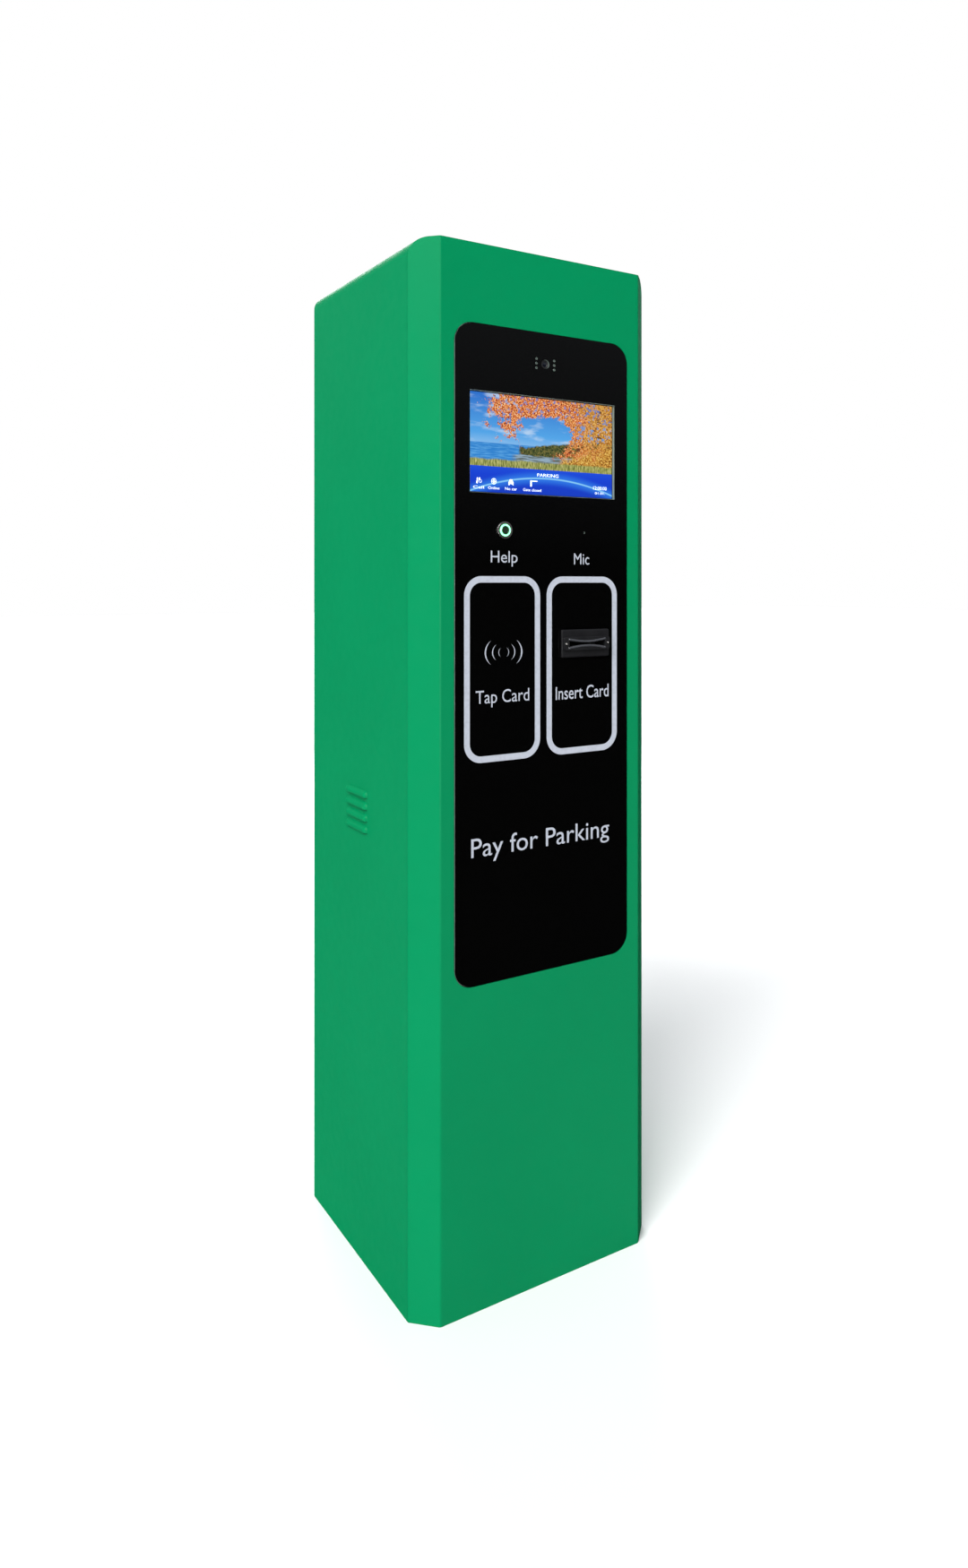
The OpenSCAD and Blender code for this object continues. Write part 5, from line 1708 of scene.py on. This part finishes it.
@dataclass
class Equipment:
    """The equipment on the plate inside, seen with the rear door open.

    A size holds a width, a height and how far the plate stands out.
    """

    vent: Point = (2.2 * MM, 30 * MM, 0.05 * MM)
    vent_in: float = 62 * MM
    vent_pitch: float = 7 * MM
    vent_rise: float = 40 * MM
    strip: Point = (15 * MM, 80 * MM, 9 * MM)
    strip_in: float = 13 * MM
    rib: Point = (15.6 * MM, 1.2 * MM, 11 * MM)
    way: float = 10 * MM
    clamp: float = 3.1 * MM
    lamp_in: float = 10 * MM
    supply_label: Point = (34 * MM, 56 * MM, 0.12 * MM)
    socket: Point = (9 * MM, 15 * MM, 1.2 * MM)
    socket_mouth: Point = (5.6 * MM, 11 * MM, 0.1 * MM)
    socket_in: float = 6.5 * MM
    socket_pitch: int = 22
    lid_screw: float = 2.4 * MM
    hub: float = 13 * MM
    breaker_label: Point = (26 * MM, 9 * MM, 0.1 * MM)

    def build(self) -> None:
        """Dresses the plate and builds what its devices carry."""
        self.dress()
        self.supply()
        self.controller()
        self.breaker()
        self.leads()
        self.fan()

    @staticmethod
    def back_slab(name: str, seat: Point, size: Point) -> Piece:
        """A small plate on a device's rear face.

        Args:
            name: The piece's name.
            seat: The middle of the face that it sits on.
            size: Its width, its height and how far it stands out.

        Returns:
            The plate.
        """
        across, face, up = seat
        wide, tall, out = size
        piece = Bench.block(
            name,
            (across - wide / 2, face - MM / 2, up - tall / 2),
            (across + wide / 2, face + out, up + tall / 2),
        )
        Bench.round_edges(piece, min(wide, tall) * 0.12, 2, sharpness=60)
        Bench.smooth_flats(piece)
        return piece

    def supply(self) -> None:
        """Builds the supply's vents as thin dark strips of painted shade, its terminal strip, its
        lamp and its plain label.
        """
        low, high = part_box("power_supply")
        face, middle, strip_x = high.y, (low.z + high.z) / 2, low.x + self.strip_in
        # Each vent slot is a thin black strip on the case: painted shade of the opening.
        vents = [
            self.back_slab(
                f"supply_vent_{i}_{row}",
                (
                    low.x + self.vent_in + i * self.vent_pitch,
                    face,
                    middle + (row - 0.5) * self.vent_rise,
                ),
                self.vent,
            )
            for i in range(10)
            for row in (0, 1)
        ]
        group("supply_vent_shades", vents, RUBBER_AND_PAINTED_SHADE, "black_plastic")
        strip = self.back_slab("supply_terminal_strip", (strip_x, face, middle), self.strip)
        on_body(strip, Body.CABINET, BLACK_PLASTIC, "black_plastic")
        ribs = [
            self.back_slab(
                f"supply_rib_{i}", (strip_x, face, middle + (i - 3.5) * self.way), self.rib
            )
            for i in range(8)
        ]
        group("supply_ribs", ribs, BLACK_PLASTIC, "black_plastic")
        screws = [
            Bench.screw(
                f"supply_screw_{i}",
                (strip_x, face + self.strip[2], middle + (i - 3) * self.way),
                Axis.BACK,
                self.clamp,
            )
            for i in range(7)
        ]
        group("supply_screws", screws, BRASS, "zinc_steel")
        lamp = Bench.turned(
            "supply_lamp",
            (high.x - self.lamp_in, face, high.z - self.lamp_in),
            Axis.BACK,
            ((1.6 * MM, -MM), (1.6 * MM, 1.2 * MM), (1.1 * MM, 1.9 * MM), (0.4 * MM, 2.2 * MM)),
            20,
        )
        on_body(lamp, Body.CABINET, GREEN_LAMP, "lit_ring")
        label = self.back_slab(
            "supply_label", (high.x - 26 * MM, face, middle - 8 * MM), self.supply_label
        )
        on_body(label, Body.CABINET, LABEL, "light_grey_plastic")

    def controller(self) -> None:
        """Builds the controller's sockets and lid screws."""
        low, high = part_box("controller_box")
        out = self.socket[2]
        for name, size, step, finish, slot in (
            ("controller_socket", self.socket, 0.0, TINPLATE, "tinplate"),
            ("controller_socket_mouth", self.socket_mouth, out, RUBBER_AND_PAINTED_SHADE, "black_plastic"),
        ):
            plates = [
                self.back_slab(
                    f"{name}_{i}",
                    (
                        high.x - self.socket_in,
                        high.y + step,
                        low.z + self.socket_pitch * (i + 1) * MM,
                    ),
                    size,
                )
                for i in range(5)
            ]
            group(f"{name}s", plates, finish, slot)
        screws = [
            Bench.screw(
                f"controller_screw_{x}_{z}",
                (
                    low.x + 5 * MM if x else high.x - 14.5 * MM,
                    high.y,
                    low.z + 6 * MM if z else high.z - 6 * MM,
                ),
                Axis.BACK,
                self.lid_screw,
            )
            for x in (0, 1)
            for z in (0, 1)
        ]
        group("controller_screws", screws, ZINC, "zinc_steel")

    def breaker(self) -> None:
        """Builds the breaker's plain label."""
        low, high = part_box("circuit_breaker")
        seat = ((low.x + high.x) / 2, high.y, low.z + 27 * MM)
        label = self.back_slab("breaker_label", seat, self.breaker_label)
        on_body(label, Body.CABINET, LABEL, "light_grey_plastic")

    def leads(self) -> None:
        """Splits the leads and gives each its own jacket."""
        bundle = Bench.from_node("wiring", "leads")
        Bench.mark(bundle, 2, [True] * len(bundle.data.polygons))
        bpy.ops.mesh.separate(type="LOOSE")
        Bench.done()
        found = list(bpy.context.selected_objects)

        def order(piece: Piece) -> tuple[float, ...]:
            """Sorts the leads by where they are."""
            return tuple(round(c, 4) for c in piece.bound_box[0])

        for i, piece in enumerate(sorted(found, key=order)):
            piece.name = f"lead_{i + 1}"
            bpy.context.view_layer.objects.active = piece
            Bench.smooth_flats(piece, 45)
            on_body(piece, Body.CABINET, JACKETS[i % len(JACKETS)], "cable_jacket", ("wiring",))

    def fan(self) -> None:
        """Builds the plain sticker on the fan's hub."""
        low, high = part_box("fan_rotor")
        sticker = Bench.turned(
            "fan_hub_sticker",
            (high.x - 0.05 * MM, (low.y + high.y) / 2, (low.z + high.z) / 2),
            Axis.X,
            ((self.hub, 0.0), (self.hub, 0.12 * MM), (12.6 * MM, 0.16 * MM), (4 * MM, 0.16 * MM)),
            32,
        )
        on_body(sticker, Body.FAN, LABEL, "light_grey_plastic")

    def dress(self) -> None:
        """Dresses the plate and the devices on it."""
        dress(ZINC, "equipment_plate", "din_rail", "plate_bolts", "bin_bracket")
        dress(TINPLATE, "card_bin")
        dress(SUPPLY_CASE, "power_supply")
        dress(DARK_METAL, "controller_box")
        dress(ALUMINIUM, "controller_heatsink")
        dress(LIGHT_PLASTIC, "circuit_breaker")
        dress(BLUE_PLASTIC, "breaker_lever")
        dress(GREY_PLASTIC, "terminal_blocks", "cable_duct")
        dress(BLACK_PLASTIC, "speaker", "fan_frame", "fan_rotor")
        dress(WIRE_STEEL, "fan_guard")


@dataclass
class Studio:
    """The floor, the lights and the camera."""

    floor_side: float = 60.0
    sun_turn: float = 57.0
    sun_height: float = 40.0
    sun_power: float = 4.0
    eye: Point = (-0.7564, -1.3258, 0.9197)
    yaw: float = -0.5691
    lens: float = 24.04
    shift: tuple[float, float] = (-0.0308, -0.1279)

    def floor(self) -> None:
        """Lays the pale floor."""
        bpy.ops.object.select_all(action="DESELECT")
        bpy.ops.mesh.primitive_plane_add(size=self.floor_side)
        piece = Bench.named("studio_floor")
        piece.data.materials.append(StudioFloor("studio_floor", shade(246, 246, 246)).material())
        piece.visible_glossy = False
        piece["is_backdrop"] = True

    def light(
        self, name: str, place: Point, aim: Point, size: tuple[float, float], power: float
    ) -> Piece:
        """Sets up a soft box.

        Args:
            name: The light's name.
            place: Where it stands.
            aim: Where it points.
            size: Its width and height.
            power: Its power in watts.

        Returns:
            The light's object.
        """
        lamp = bpy.data.lights.new(name, "AREA")
        lamp.shape = "RECTANGLE"
        lamp.size, lamp.size_y = size
        lamp.energy = power
        holder = bpy.data.objects.new(name, lamp)
        bpy.context.scene.collection.objects.link(holder)
        holder.location = place
        holder.rotation_euler = (Vector(aim) - Vector(place)).to_track_quat("-Z", "Y").to_euler()
        holder.visible_camera = False
        return holder

    def lights(self) -> None:
        """Sets up the broad key, the strip for the folds and the glow on the fascia."""
        sun = bpy.data.lights.new("key", "SUN")
        sun.energy = self.sun_power
        sun.angle = math.radians(35)
        holder = bpy.data.objects.new("key", sun)
        bpy.context.scene.collection.objects.link(holder)
        turn, height = math.radians(self.sun_turn), math.radians(self.sun_height)
        source = Vector(
            (
                -math.cos(height) * math.sin(turn),
                -math.cos(height) * math.cos(turn),
                math.sin(height),
            )
        )
        holder.rotation_euler = source.to_track_quat("Z", "Y").to_euler()
        strip = self.light("fold_strip", (-1.15, -3.0, 1.1), (0, 0, 0.8), (0.22, 2.2), 60)
        strip.visible_diffuse = False
        self.light("top_box", (-1.3, -2.2, 2.7), (0, 0, 1.2), (1.2, 1.2), 6)
        self.light("back_box", (1.3, 3.4, 2.1), (0, 0, 0.7), (2.6, 2.6), 110)

    def surroundings(self) -> None:
        """Makes a plain white backdrop that lights the scene softly."""
        world = bpy.data.worlds.new("studio")
        bpy.context.scene.world = world
        world.use_nodes = True
        tree = world.node_tree
        tree.nodes.clear()

        def add(kind: str) -> bpy.types.Node:
            """Adds a node to the surroundings."""
            return tree.nodes.new("ShaderNode" + kind)

        way = add("TexCoord")
        parts = add("SeparateXYZ")
        ramp = add("ValToRGB")
        soft, white = add("Background"), add("Background")
        path, either, output = add("LightPath"), add("MixShader"), add("OutputWorld")
        row = ramp.color_ramp.elements
        row[0].position, row[0].color = 0.02, (0.01, 0.01, 0.01, 1)
        row[1].position, row[1].color = 0.26, (0.276, 0.292, 0.312, 1)
        link = tree.links.new
        link(way.outputs["Generated"], parts.inputs["Vector"])
        link(parts.outputs["Z"], ramp.inputs["Fac"])
        link(ramp.outputs["Color"], soft.inputs["Color"])
        link(path.outputs["Is Camera Ray"], either.inputs["Fac"])
        link(soft.outputs["Background"], either.inputs[1])
        link(white.outputs["Background"], either.inputs[2])
        white.inputs["Color"].default_value = (1, 1, 1, 1)
        link(either.outputs["Shader"], output.inputs["Surface"])

    def camera(self) -> None:
        """Sets up the camera at the left front, level, at a standing person's chest."""
        lens = bpy.data.cameras.new("camera")
        lens.lens = self.lens
        lens.sensor_width = 36
        lens.sensor_fit = "AUTO"
        lens.shift_x, lens.shift_y = self.shift
        holder = bpy.data.objects.new("camera", lens)
        bpy.context.scene.collection.objects.link(holder)
        holder.location = self.eye
        holder.rotation_euler = (math.pi / 2, 0, self.yaw)
        bpy.context.scene.camera = holder
        bpy.context.scene.view_settings.view_transform = "Standard"

    def build(self) -> None:
        """Sets up the studio."""
        self.camera()
        self.floor()
        self.lights()
        self.surroundings()


def main() -> None:
    """Builds the station from the outside in."""
    logging.basicConfig(level=logging.INFO, format="%(name)s: %(message)s")
    Studio().build()
    Cabinet().build()
    Fascia().build()
    PrintedGraphics().build()
    Screen().build()
    CameraUnit().build()
    HelpButton().build()
    CardReader().build()
    RearDoor().build()
    Equipment().build()
    boxes = {"cad": CAD_BOX, "visual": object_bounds()}
    {key: [list(c) for c in value] for key, value in boxes.items()}


if __name__ == "__main__":
    main()
